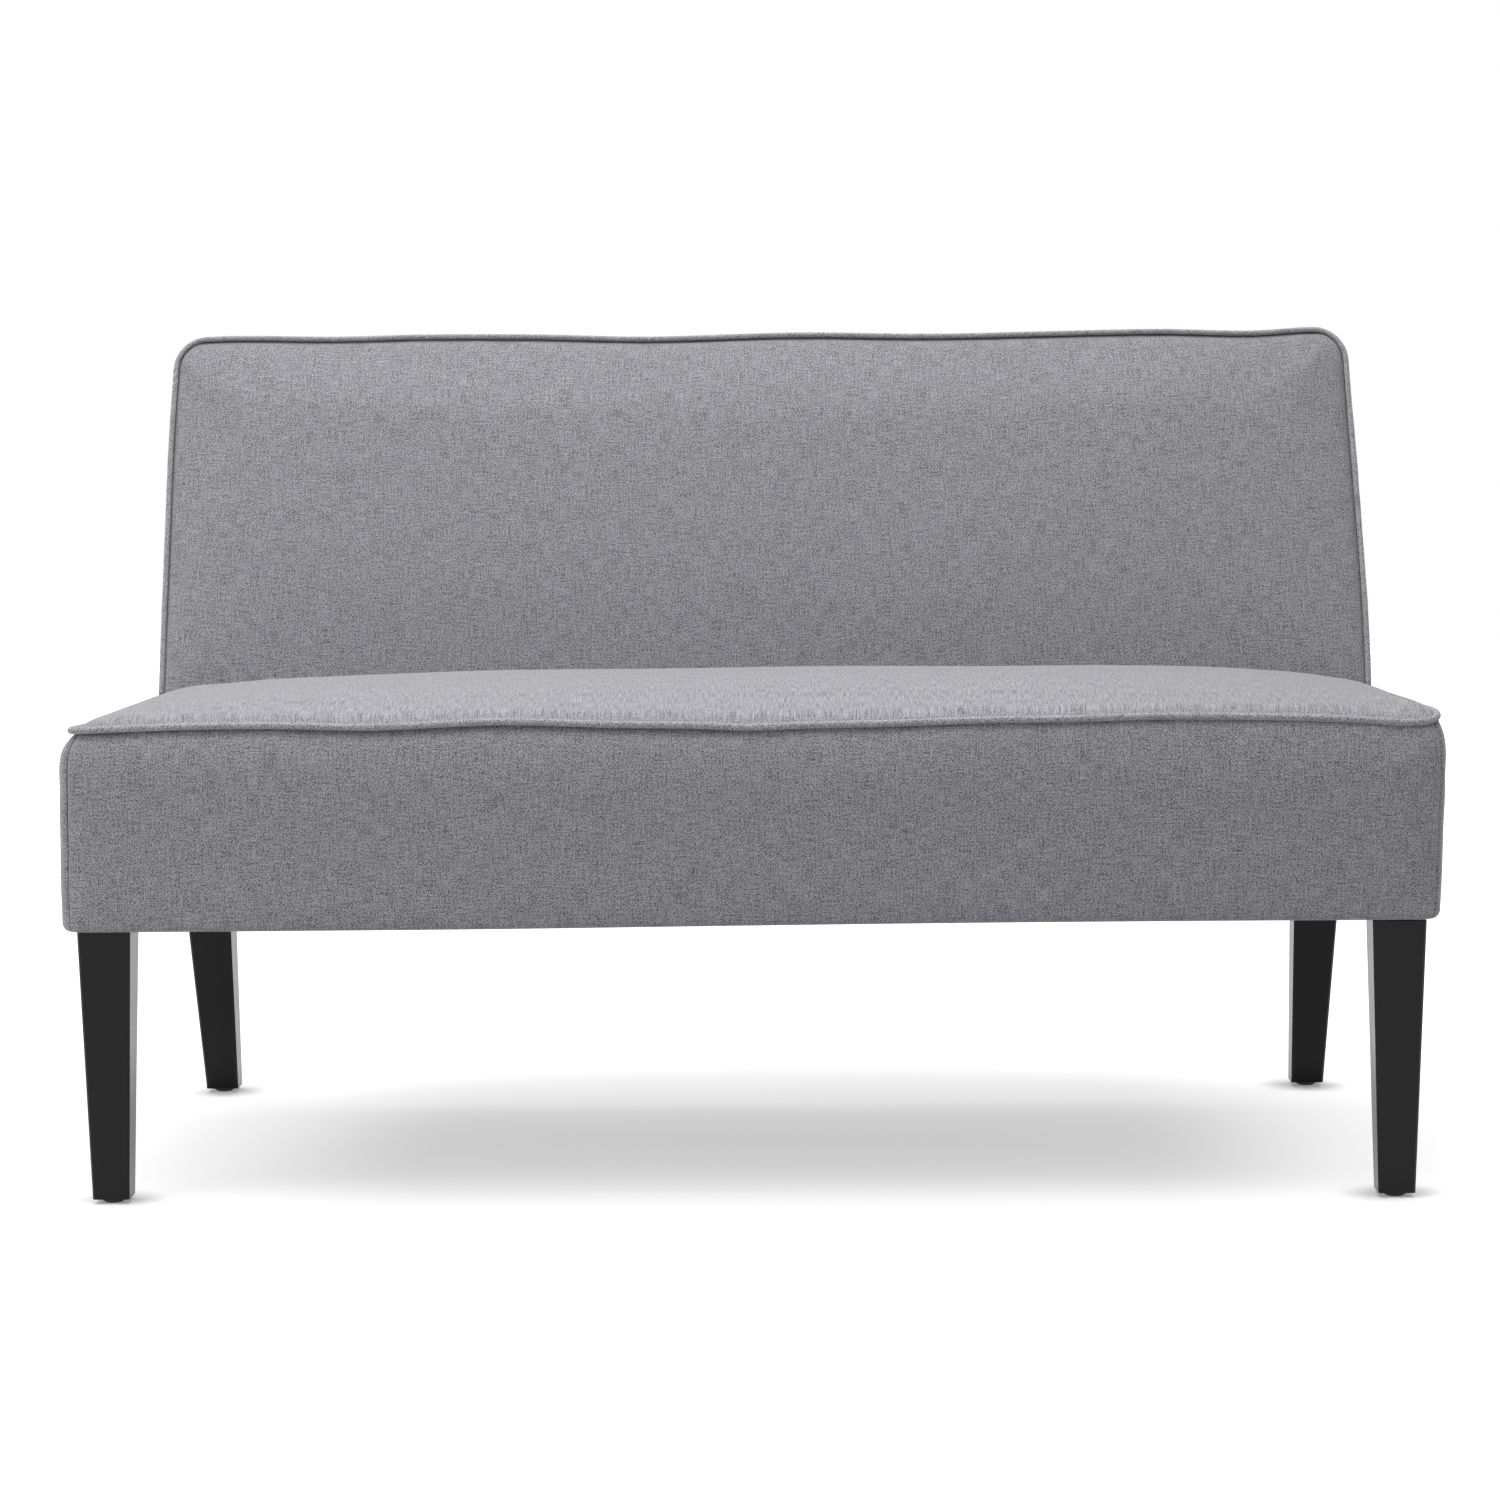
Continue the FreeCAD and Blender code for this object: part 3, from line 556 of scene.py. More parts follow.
class Graph:
    """The nodes of one material or world, and the one way in which they are added."""

    def __init__(self, tree):
        self.tree = tree
        tree.nodes.clear()

    def add(self, kind, settings=None, inputs=None, output=0):
        node = self.tree.nodes.new(kind)
        for name, value in (settings or {}).items():
            setattr(node, name, value)
        for name, value in (inputs or {}).items():
            if isinstance(value, Wire):
                self.tree.links.new(value.socket, node.inputs[name])
            else:
                node.inputs[name].default_value = value
        return Wire(self, node.outputs[output]) if node.outputs else node


class Wire:
    """An output of a node. Arithmetic on it adds Math nodes."""

    def __init__(self, graph, socket):
        self.graph = graph
        self.socket = socket

    def out(self, name):
        return Wire(self.graph, self.socket.node.outputs[name])

    def math(self, operation, *others):
        values = dict(enumerate([self, *others]))
        return self.graph.add("ShaderNodeMath", {"operation": operation}, values)

    def __add__(self, other):
        return self.math("ADD", other)

    def __sub__(self, other):
        return self.math("SUBTRACT", other)

    def __mul__(self, other):
        return self.math("MULTIPLY", other)

    def __rsub__(self, other):
        return self.graph.add("ShaderNodeMath", {"operation": "SUBTRACT"}, {0: other, 1: self})

    __radd__ = __add__
    __rmul__ = __mul__

    def step(self, low, high):
        """A smooth step from 0 at low to 1 at high."""
        inputs = {"Value": self, "From Min": low, "From Max": high}
        return self.graph.add("ShaderNodeMapRange", {"interpolation_type": "SMOOTHSTEP"}, inputs)


def mix_colours(graph, share, first, second):
    """A colour between two others, through the sockets that a Mix node keeps for colours."""
    inputs = {0: share, 6: (*first, 1.0), 7: (*second, 1.0)}
    return graph.add("ShaderNodeMix", {"data_type": "RGBA"}, inputs, 2)


def speckle(graph, vector, scale, detail=2.0, roughness=0.5, seed=0.0):
    """Noise between 0 and 1."""
    settings = {"noise_dimensions": "4D"}
    inputs = {"Vector": vector, "W": seed, "Scale": scale, "Detail": detail, "Roughness": roughness}
    return graph.add("ShaderNodeTexNoise", settings, inputs)


def vector_of(graph, x, y, z=0.0):
    return graph.add("ShaderNodeCombineXYZ", None, {"X": x, "Y": y, "Z": z})


def finish_surface(graph, inputs, height, strength, distance):
    """The shader itself, with a bump from a height, and the material's output."""
    normal = graph.add("ShaderNodeBump", None, {"Height": height, "Strength": strength, "Distance": distance})
    shader = graph.add("ShaderNodeBsdfPrincipled", None, {**inputs, "Normal": normal})
    graph.add("ShaderNodeOutputMaterial", None, {"Surface": shader})


def material_graph(name):
    material = bpy.data.materials.new(name)
    material.use_nodes = True
    return material, Graph(material.node_tree)


def heather_cloth(name, cloth, shade=1.0, slubs=1.0):
    """Plain-woven cloth of pale and dark yarns, with slubs that are stronger in the warp if asked."""
    material, graph = material_graph(name)
    place = graph.add("ShaderNodeUVMap", {"uv_map": WEAVE})
    parts = graph.add("ShaderNodeSeparateXYZ", None, {"Vector": place})
    u, v = parts, parts.out("Y")
    pitch, slub = cloth.yarn_pitch, cloth.slub_length

    def yarns(across, along, seed):
        """Uneven stretches of yarn, so many to a metre across the cloth and along it."""
        return speckle(graph, vector_of(graph, u * across, v * along), 1.0, 1.0, 0.5, seed)

    weft = yarns(0.4 / pitch, 1 / pitch, 3.0)
    warp = yarns(1 / pitch, 0.4 / pitch, 9.0)
    across_wave = (u * (math.pi / pitch)).math("SINE")
    along_wave = (v * (math.pi / pitch)).math("SINE")
    over = (across_wave * along_wave).step(-0.35, 0.35)
    yarn = weft * over + warp * (1.0 - over)
    long_weft = yarns(0.55 / slub, 0.62 / pitch, 13.0)
    long_warp = yarns(0.62 / pitch, 0.45 / slub, 19.0)
    cloud = speckle(graph, place, 1 / 0.028, 2.0, 0.6, 7.0)
    short_share, weft_share, warp_share = 0.69, 0.15, 0.13 * slubs
    mixed = yarn * short_share + long_weft * weft_share + long_warp * warp_share
    tone = mixed * (1 / (short_share + weft_share + warp_share)) + (cloud - 0.5) * 0.03
    pale = tuple(c * shade for c in cloth.pale_yarn)
    dark = tuple(c * shade for c in cloth.dark_yarn)
    colour = mix_colours(graph, tone.step(0.42, 0.56), dark, pale)
    ridge = across_wave.math("ABSOLUTE") * over
    furrow = along_wave.math("ABSOLUTE") * (1.0 - over)
    height = ridge * 0.5 + furrow * 0.5 + yarn * 0.9
    inputs = {
        "Base Color": colour,
        "Roughness": 0.92,
        "Specular IOR Level": 0.25,
        "Sheen Weight": 0.50,
        "Sheen Roughness": 0.45,
        "Sheen Tint": (0.95, 0.95, 1.0, 1.0),
    }
    finish_surface(graph, inputs, height, 0.55, 0.0006)
    return material


def cloths(cloth):
    """The cloth of the upright covers, of the piping and of the seat's top, made once. The piping's copy is
    painted paler all over, a painted highlight for the light that its round top catches.
    """
    # The piping's cloth is the covers' cloth painted 1.2 times paler: painted highlight, not a paler yarn.
    kinds = (("settee cloth", 1.0, 1.0), ("settee piping cloth", 1.2, 1.0), ("settee seat cloth", 1.0, 2.5))
    return [bpy.data.materials.get(kind[0]) or heather_cloth(kind[0], cloth, *kind[1:]) for kind in kinds]


def black_lacquer():
    """Black satin lacquer over a fine open grain."""
    material, graph = material_graph("black lacquer")
    place = graph.add("ShaderNodeTexCoord", None, None, "Object")
    stretch = graph.add("ShaderNodeMapping", None, {"Vector": place, "Scale": (420.0, 420.0, 14.0)})
    grain = speckle(graph, stretch, 1.0, 3.0, 0.55)
    haze = speckle(graph, place, 26.0, 2.0, 0.5, 4.0)
    colour = mix_colours(graph, grain, (0.0030, 0.0030, 0.0036), (0.0058, 0.0057, 0.0062))
    rough = 0.20 + haze * 0.08 + grain * 0.05
    inputs = {"Base Color": colour, "Roughness": rough, "Specular IOR Level": 0.20}
    finish_surface(graph, inputs, grain * 0.6 + haze * 0.4, 0.12, 0.0004)
    return material


def plain_finish(name, pale, dark, roughness, scale, stretch=(1.0, 1.0, 1.0), metallic=0.0):
    """A finish for a piece inside: two tones in a fine mottle, stretched along its grain."""
    material, graph = material_graph(name)
    place = graph.add("ShaderNodeTexCoord", None, None, "Object")
    stretched = graph.add("ShaderNodeMapping", None, {"Vector": place, "Scale": stretch})
    grain = speckle(graph, stretched, scale, 4.0, 0.6)
    colour = mix_colours(graph, grain.step(0.3, 0.7), dark, pale)
    inputs = {"Base Color": colour, "Roughness": roughness, "Metallic": metallic}
    finish_surface(graph, inputs, grain, 0.2, 0.0005)
    return material


def dress(material, *nodes):
    """Give CAD nodes a finish."""
    for name in nodes:
        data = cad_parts[name].data
        data.materials.clear()
        data.materials.append(material)


def seat_on(piece, slot, *stands_for):
    """Fix a new piece to the settee and hide the nodes that it stands for; the slot is not used."""
    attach(piece, BODY)
    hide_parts(*stands_for)


def smooth_once(piece):
    """Round off the facets of a cover's grid."""
    smooth = piece.modifiers.new("smooth", "SUBSURF")
    smooth.levels = smooth.render_levels = 1


# The seat's bands


def wall_section():
    """The band's section, from under the frame up to its seam: how far in it lies, and its height."""
    fold = 0.0075
    beside_fold = (0.0012, 0.0026, 0.0045, 0.007, 0.010, 0.0145, 0.020)
    foot_inset = WALL[0][1]
    section = [(TURN_UNDER, BOX_FOOT), (0.020, BOX_FOOT)]
    for step in range(5):
        turn = math.pi / 2 * step / 4
        section.append((foot_inset + fold * (1 - math.sin(turn)), BOX_FOOT + fold * (1 - math.cos(turn))))
    for z in spread(BOX_FOOT + fold, WALL[-1][0], 0.0105, beside_fold)[1:]:
        section.append((wall(z), z))
    return section


def band_columns(side):
    """Where one panel's columns stand: the point they turn about, their way out and the run to each seam."""
    x, front, rear = HALF_BOX - CORNER, BOX_FRONT + CORNER, BOX_REAR - CORNER
    ends = {
        "front": ((-x, front), (x, front), -90),
        "right": ((x, front), (x, rear), 0),
        "rear": ((x, rear), (-x, rear), 90),
        "left": ((-x, rear), (-x, front), 180),
    }
    (x0, y0), (x1, y1), facing = ends[side]
    arc = CORNER * math.pi / 4
    run = math.hypot(x1 - x0, y1 - y0)
    start = -arc + (SEAM_TURN if side == "front" else 0.0)
    stop = run + arc + (SEAM_TURN if side == "left" else 0.0)
    places = spread(start, stop, GRID_PITCH, (0.0012, 0.0025, 0.005, 0.009, 0.014, arc))
    columns = []
    for place in places:
        turn = 0.0
        if place < 0:
            turn = place / CORNER
        elif place > run:
            turn = (place - run) / CORNER
        angle = math.radians(facing) + turn
        share = min(max(place / run, 0.0), 1.0)
        centre = Vector((x0 + (x1 - x0) * share, y0 + (y1 - y0) * share, 0.0))
        to_seam = min(place - start, stop - place)
        columns.append((centre, Vector((math.cos(angle), math.sin(angle), 0.0)), to_seam))
    return columns


def band_points(side, cloth, seed):
    """The grid of points of one band's outer side."""
    fuller_right, fuller_rear = 0.35, 0.52
    rows = []
    columns = band_columns(side)
    for level, z in wall_section():
        above_foot = ease(BOX_FOOT, BOX_FOOT + 0.05, z)
        above_fold = ease(BOX_FOOT - 0.001, BOX_FOOT + 0.004, z)
        near_top = math.exp(-max(BAND_TOP - z, 0) / 0.014) * ease(0, 0.004, BAND_TOP - z)
        row = []
        for centre, outward, to_seam in columns:
            edge = centre + outward * CORNER
            rearward = ease(*BEHIND_BACK, edge.y - BOX_FRONT)
            fuller = fuller_right * ease(-0.3, HALF_BOX, edge.x) * (1 - rearward) + fuller_rear * rearward
            inset = level * (1 - fuller * ease(BULGE_HEIGHT, BAND_TOP, z))
            lift = seam_lift(edge.x, edge.y) * ease(BULGE_HEIGHT - 0.03, BAND_TOP, z)
            along = edge.x if side in ("front", "rear") else edge.y
            drawn = cloth.pucker * near_top * ripple(along, z * 0.3, 0.021, seed)
            soft = 0.0012 * ripple(along, z, 0.16, seed + 4) * above_foot
            dip = cloth.seam_dip * math.exp(-((to_seam / 0.0022) ** 2)) * above_fold
            if z <= BOX_FOOT + 1e-6:
                drawn = soft = dip = 0.0
            point = centre + outward * (CORNER - inset - dip + drawn + soft)
            hang = foot_hang(point.x) * (1 - ease(0.012, 0.020, level)) * (1 - above_foot)
            row.append((bulged(point.x, z), point.y, z + lift - hang))
        rows.append(row)
    return np.array(rows)


class SETTEE_OT_seat_bands(bpy.types.Operator):
    """The four upright covers round the seat, seamed at its corners"""

    bl_idname = "settee.seat_bands"
    bl_label = "Seat bands"

    def execute(self, context):
        cloth, padding = context.scene.settee_cloth, context.scene.settee_padding
        wovens = cloths(cloth)
        nodes = {
            "front": ("seat_front_band", "seat_front_wadding"),
            "right": ("seat_side_band_right", "seat_side_wadding_right"),
            "rear": ("seat_rear_band", "seat_rear_wadding"),
            "left": ("seat_side_band_left", "seat_side_wadding_left"),
        }
        for seed, side in enumerate(nodes):
            points = settle(band_points(side, cloth, 11.0 + 3 * seed), 8, 1, 4, padding)
            piece = cover(f"seat_band_{side}", points, cloth.thickness, wovens[0], (0.37 * seed, 0.0))
            smooth_once(piece)
            seat_on(piece, "cover_fabric", *nodes[side])
        return {"FINISHED"}


# The seat's cushion


def seat_crown(x, run):
    """The share of the seat's crown at a place across it and a run behind its front seam."""
    to_side = HALF_BOX - SEAM_INSET - abs(x)
    side = left_crown(to_side) if x < 0 else right_crown(to_side)
    if run > FULL_RUN:
        return side * (1 - ((run - FULL_RUN) / FALL_RUN) ** 2)
    return pillow(side, front_crown(run))


def seat_top_points(cloth):
    """The grid of points of the seat's top cover, from its front seam to its foot behind the back's face."""
    half = HALF_BOX - SEAM_INSET
    acrosses = spread(-1.0, 1.0, ACROSS_PITCH, [f / half for f in BESIDE_SEAM])
    behind_face = 0.012
    seam = WELT_HEIGHT - 0.0028
    rows = []
    for run in spread(0.0, BACK_SET - SEAM_INSET + behind_face, GRID_PITCH, BESIDE_SEAM):
        wide = half - corner_cut(CORNER - SEAM_INSET, run)
        row = []
        for across in acrosses:
            x = across * wide
            y = BOX_FRONT + SEAM_INSET + run
            to_side = wide - abs(x)
            to_seam = min(to_side, run)
            rise = CROWN_HEIGHT * seat_crown(x, run)
            lift = seam_lift(x, y) * math.exp(-to_seam / 0.06)
            roll = 0.0030 * (1 - math.exp(-to_seam / 0.0030))
            drawn = cloth.pucker * 0.8 * ripple(x, y, 0.023, 41.0) * math.exp(-to_seam / 0.016)
            soft = 0.0016 * ripple(x, y, 0.19, 45.0) * ease(0, 0.06, to_seam)
            drawn *= ease(0, 0.004, to_seam)
            row.append((bulged(x, WELT_HEIGHT), y, seam + roll + rise + lift + drawn + soft))
        rows.append(row)
    return np.array(rows)


class SETTEE_OT_seat_cushion(bpy.types.Operator):
    """The seat's crowned top"""

    bl_idname = "settee.seat_cushion"
    bl_label = "Seat cushion"

    def execute(self, context):
        cloth, padding = context.scene.settee_cloth, context.scene.settee_padding
        points = settle(seat_top_points(cloth), 2, 3, 2, padding)
        piece = cover("seat_cushion", points, cloth.thickness, cloths(cloth)[2], (0.11, 0.52))
        smooth_once(piece)
        seat_on(piece, "cover_fabric", "seat_top_cover", "seat_foam")
        return {"FINISHED"}


class SETTEE_OT_seat_piping(bpy.types.Operator):
    """The piping round the seat's top edge"""

    bl_idname = "settee.seat_piping"
    bl_label = "Seat piping"

    def execute(self, context):
        cloth = context.scene.settee_cloth
        radius = CORNER - WELT_INSET
        x = HALF_BOX - radius - WELT_INSET
        front = BOX_FRONT + CORNER
        rear = WELT_HIGH.y
        pitch = PIPING_PITCH
        turns = np.linspace(0, math.pi / 2, 9)
        plan = [(-x - radius, y) for y in np.arange(rear, front, -pitch)]
        plan += [(-x - radius * math.cos(a), front - radius * math.sin(a)) for a in turns]
        plan += [(px, front - radius) for px in np.arange(-x + pitch, x, pitch)]
        plan += [(x + radius * math.sin(a), front - radius * math.cos(a)) for a in turns]
        plan += [(x + radius, y) for y in np.arange(front + pitch, rear + pitch / 2, pitch)]
        path = [(bulged(px, WELT_HEIGHT), py, WELT_HEIGHT + seam_lift(px, py)) for px, py in plan]
        piece = tube("seat_piping", path, cloth.piping_radius, PIPING_SIDES, cloths(cloth)[1])
        seat_on(piece, "piping_fabric", "seat_welt")
        return {"FINISHED"}


# The back


def swollen(x, up):
    """The place across the back of a point, once the back's sides have filled out."""
    share = (abs(x) / BACK_HALF) ** 4
    return x - left_swell(up) * share if x < 0 else x + right_swell(up) * share


def topped(x, up):
    """The place up the slope of a point, once its top edge has settled."""
    return up + top_lift(x) * ease(BACK_LENGTH - 0.11, BACK_LENGTH, up)


def on_cover(x, up, out):
    """A point of the back's covers in the frame, their sides filled out and their top edge settled."""
    return tuple(on_back(swollen(x, up), topped(x, up), out))


def back_panel_points(cloth):
    """The grid of points of the back's front panel, from below the seat's crown up to its top seam."""
    half = BACK_HALF - PANEL_INSET
    top = BACK_LENGTH - PANEL_INSET
    acrosses = spread(-1.0, 1.0, ACROSS_PITCH, [f / half for f in BESIDE_SEAM])
    below_foot = 0.004
    rows = []
    for drop in reversed(spread(0.0, top + below_foot, 0.010, BESIDE_SEAM)):
        up = top - drop
        wide = half - corner_cut(BACK_CORNER - PANEL_INSET, drop)
        row = []
        for across in acrosses:
            x = across * wide
            to_side = wide - abs(x)
            to_seam = min(to_side, drop)
            roll = 0.0068 * (1 - math.exp(-to_seam / 0.0026))
            crown = BACK_CROWN_HEIGHT * pillow(head_crown(drop), side_crown(to_side))
            drawn = cloth.pucker * ripple(x, up, 0.024, 61.0) * math.exp(-to_seam / 0.016)
            drawn *= ease(0, 0.004, to_seam)
            soft = 0.0016 * ripple(x, up, 0.17, 65.0) * ease(0, 0.06, to_seam)
            out = -0.0071 + roll + crown + drawn + soft
            row.append(on_cover(x, up, out))
        rows.append(row)
    return np.array(rows)


def foot_of_back(out):
    """How far up the slope the back's covers start, where they stand on the seat's rear edge."""
    return max((SEAT_REST - BACK_FOOT.z - out * math.sin(RAKE)) / math.cos(RAKE), 0.0)


def back_plan(inset, pitch, foot=0.0):
    """Points up one side of the back, over its top and down the other, with each one's way out."""
    radius = BACK_CORNER - inset
    x = BACK_HALF - inset
    top = BACK_LENGTH - inset
    low, high = 0.0, top - radius
    side = [foot + (up - low) * (high - foot) / (high - low) for up in spread(low, high, pitch)]
    turns = np.linspace(0, math.pi / 2, 9)[1:]
    plan = [(-x, up, math.pi) for up in side]
    for a in turns:
        plan.append((-x + radius * (1 - math.cos(a)), top - radius * (1 - math.sin(a)), math.pi - a))
    plan += [(px, top, math.pi / 2) for px in spread(-x + radius, x - radius, pitch)[1:]]
    for a in turns:
        plan.append((x - radius * (1 - math.sin(a)), top - radius * (1 - math.cos(a)), math.pi / 2 - a))
    plan += [(x, up, 0.0) for up in reversed(side[:-1])]
    return plan


def boxing_points(cloth):
    """The grid of points of the strip round the back, from its rear seam to its front seam."""
    front, rear = -0.0040, -BACK_THICKNESS
    section = []
    for step in range(17):
        t = step / 16
        out = rear + (front - rear) * (1 - math.cos(math.pi * t)) / 2
        full = math.sin(math.pi * t) ** 0.5
        section.append((out, 0.0022 * full - 0.0030 * (1 - full)))
    rows = []
    for out, swell in section:
        row = []
        near_front = ease(rear + 0.03, front, out) * ease(0, 0.006, front - out)
        for n, (x, up, angle) in enumerate(back_plan(0.0, GRID_PITCH, foot_of_back(out))):
            run = n * GRID_PITCH
            soft = 0.0008 * ripple(run, out, 0.12, 81.0)
            drawn = cloth.pucker * 0.6 * ripple(run, out * 0.2, 0.022, 85.0) * near_front
            size = swell + soft + drawn
            row.append(on_cover(x + math.cos(angle) * size, up + math.sin(angle) * size, out))
        rows.append(row)
    return np.array(rows)


def rear_panel_points():
    """The grid of points of the back's rear cover, from its foot up."""
    half = BACK_HALF - REAR_INSET
    top = BACK_LENGTH - REAR_INSET
    fine = (0.0015, 0.003, 0.006, 0.012, 0.02)
    acrosses = spread(-1.0, 1.0, ACROSS_PITCH, [f / half for f in fine])
    rows = []
    for drop in reversed(spread(0.0, top - foot_of_back(-BACK_THICKNESS), GRID_PITCH, fine)):
        up = top - drop
        wide = half - corner_cut(BACK_CORNER, drop)
        row = []
        for across in reversed(acrosses):
            x = across * wide
            to_seam = min(wide - abs(x), drop)
            soft = 0.0010 * ripple(x, up, 0.20, 91.0) * ease(0, 0.05, to_seam)
            out = -BACK_THICKNESS + 0.0012 * math.exp(-to_seam / 0.003) - soft
            row.append(on_cover(x, up, out))
        rows.append(row)
    return np.array(rows)


class SETTEE_OT_back_cushion(bpy.types.Operator):
    """The back's padded front"""

    bl_idname = "settee.back_cushion"
    bl_label = "Back cushion"

    def execute(self, context):
        cloth, padding = context.scene.settee_cloth, context.scene.settee_padding
        points = settle(back_panel_points(cloth), 3, 2, 2, padding)
        piece = cover("back_cushion", points, cloth.thickness, cloths(cloth)[0], (0.63, 0.21))
        smooth_once(piece)
        seat_on(piece, "cover_fabric", "back_front_panel", "back_foam")
        return {"FINISHED"}


class SETTEE_OT_back_sides(bpy.types.Operator):
    """The strip round the back and the cover of its rear"""

    bl_idname = "settee.back_sides"
    bl_label = "Back sides and rear"

    def execute(self, context):
        cloth = context.scene.settee_cloth
        woven = cloths(cloth)[0]
        strip = cover("back_boxing_strip", boxing_points(cloth), cloth.thickness, woven, (0.09, 0.8))
        smooth_once(strip)
        waddings = ("back_top_wadding", "back_side_wadding_right", "back_side_wadding_left")
        seat_on(strip, "cover_fabric", "back_boxing", *waddings)
        rear = cover("back_rear_cover", rear_panel_points(), cloth.thickness, woven, (0.29, 0.13))
        smooth_once(rear)
        seat_on(rear, "cover_fabric", "back_rear_panel")
        return {"FINISHED"}


class SETTEE_OT_back_piping(bpy.types.Operator):
    """The piping round the front edge of the back"""

    bl_idname = "settee.back_piping"
    bl_label = "Back piping"

    def execute(self, context):
        cloth = context.scene.settee_cloth
        path = [on_cover(x, up, -0.0008) for x, up, _ in back_plan(BACK_WELT_INSET, PIPING_PITCH)]
        piece = tube("back_piping", path, 0.85 * cloth.piping_radius, PIPING_SIDES, cloths(cloth)[1])
        seat_on(piece, "piping_fabric", "back_welt")
        return {"FINISHED"}


class SETTEE_OT_underside(bpy.types.Operator):
    """The thin cloth stretched under the seat"""

    bl_idname = "settee.underside"
    bl_label = "Underside"

    def execute(self, context):
        low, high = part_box("dust_cover")
        edge = Vector((UNDERSIDE_INSET, UNDERSIDE_INSET, 0.0))
        low, high = low + edge, high - edge
        black = plain_finish("dust cloth", (0.020, 0.020, 0.021), (0.008, 0.008, 0.009), 0.85, 900.0)
        rows = []
        middle, half = (low.x + high.x) / 2, (high.x - low.x) / 2
        for y in spread(low.y, high.y, 0.02, (0.002, 0.005, 0.009)):
            row = []
            wide = half - corner_cut(UNDERSIDE_CORNER, max(min(y - low.y, high.y - y), 0.0))
            for across in reversed(spread(-1.0, 1.0, 0.03)):
                x = middle + across * wide
                free = ease(0, 0.15, min(x - low.x, high.x - x, y - low.y, high.y - y))
                slack = 0.0005 * free * (1 + ripple(x, y, 0.13, 101.0))
                row.append((x, y, low.z - slack))
            rows.append(row)
        piece = cover("underside_cloth", np.array(rows), UNDERSIDE_THICKNESS, black)
        seat_on(piece, "dust_cloth", "dust_cover")
        return {"FINISHED"}


class SETTEE_OT_legs(bpy.types.Operator):
    """The finish of the legs and their glides"""

    bl_idname = "settee.legs"
    bl_label = "Legs"

    def execute(self, context):
        dress(black_lacquer(), "leg_front_right", "leg_front_left", "leg_rear_right", "leg_rear_left")
        glide = plain_finish("glide plastic", (0.014, 0.014, 0.014), (0.009, 0.009, 0.009), 0.5, 60.0)
        dress(glide, "leg_glides")
        return {"FINISHED"}


class SETTEE_OT_inside(bpy.types.Operator):
    """The finishes of the frame, springs and webbing inside"""

    bl_idname = "settee.inside"
    bl_label = "Inside"

    def execute(self, context):
        along_x = (6.0, 90.0, 90.0)
        wood = plain_finish("raw softwood", (0.66, 0.50, 0.32), (0.50, 0.35, 0.20), 0.75, 1.0, along_x)
        endings = ("_rail", "_rail_right", "_rail_left", "_strip", "_board")
        rails = [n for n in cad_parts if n.endswith(endings)]
        dress(wood, *rails, "corner_blocks", "back_upright", "back_post_right", "back_post_left")
        steel = plain_finish("zinc plate", (0.58, 0.58, 0.60), (0.40, 0.40, 0.42), 0.35, 130.0, metallic=1.0)
        dress(steel, "seat_springs", "spring_clips", "spring_tie_wires", "leg_bolts", "back_screws")
        felt = plain_finish("pressed felt", (0.42, 0.40, 0.38), (0.20, 0.19, 0.18), 0.95, 700.0)
        dress(felt, "seat_felt")
        ribs = (900.0, 200.0, 200.0)
        webbing = plain_finish("webbing", (0.10, 0.10, 0.11), (0.04, 0.04, 0.045), 0.9, 1.0, ribs)
        dress(webbing, "back_webbing")
        card = plain_finish("liner card", (0.50, 0.38, 0.25), (0.40, 0.30, 0.19), 0.85, 300.0)
        dress(card, "back_liner")
        return {"FINISHED"}


# Camera, lights and floor

LENS = 95.66
SENSOR = 36.0
# Each lamp's place, the point that it faces and its two sizes
KEY_LAMP = ((-0.30, -0.15, 2.6), (-0.15, -0.1, 0.3), (3.0, 2.2))
FILL_LAMP = ((-2.2, -1.8, 1.1), (0.0, -0.3, 0.4), (1.6, 1.6))


def camera_matrix():
    """The camera's place and turn in the frame."""
    yaw, pitch, roll = 0.0211, 0.0812, -0.0092
    place = Vector((0.0808, -4.0887, 0.7324))
    turn = Matrix.Rotation(yaw, 3, "Z")
    ahead = turn @ Vector((0, math.cos(pitch), -math.sin(pitch)))
    above = turn @ Vector((0, math.sin(pitch), math.cos(pitch)))
    right = turn @ Vector((1, 0, 0))
    across = right * math.cos(roll) + above * math.sin(roll)
    upward = above * math.cos(roll) - right * math.sin(roll)
    matrix = Matrix((across, upward, -ahead)).transposed().to_4x4()
    matrix.translation = place
    return matrix


def add_lamp(name, place, target, size, power):
    light = bpy.data.lights.new(name, "AREA")
    light.shape = "RECTANGLE"
    light.size, light.size_y = size
    light.energy = power
    lamp = bpy.data.objects.new(name, light)
    bpy.context.scene.collection.objects.link(lamp)
    lamp.location = place
    lamp.rotation_euler = (Vector(target) - Vector(place)).to_track_quat("-Z", "Y").to_euler()


def seen_directly(graph):
    """1 for a ray from the camera, a reflection or glass, and 0 for light that falls on a surface."""
    path = graph.add("ShaderNodeLightPath", None, None, "Is Camera Ray")
    seen = path.math("MAXIMUM", path.out("Is Glossy Ray"))
    return seen.math("MAXIMUM", path.out("Is Transmission Ray"))


def white_room(strength):
    """A world that is white to look at and lights the settee softly, brighter from above."""
    world = bpy.data.worlds.new("white room")
    bpy.context.scene.world = world
    world.use_nodes = True
    graph = Graph(world.node_tree)
    direction = graph.add("ShaderNodeTexCoord", None, None, "Generated")
    height = graph.add("ShaderNodeSeparateXYZ", None, {"Vector": direction}, "Z")
    light = strength + height.step(0.2, 1.0) * 1.1
    share = seen_directly(graph)
    level = light * (1.0 - share) + share
    shader = graph.add("ShaderNodeBackground", None, {"Color": (1.0, 1.0, 1.0, 1.0), "Strength": level})
    graph.add("ShaderNodeOutputWorld", None, {"Surface": shader})


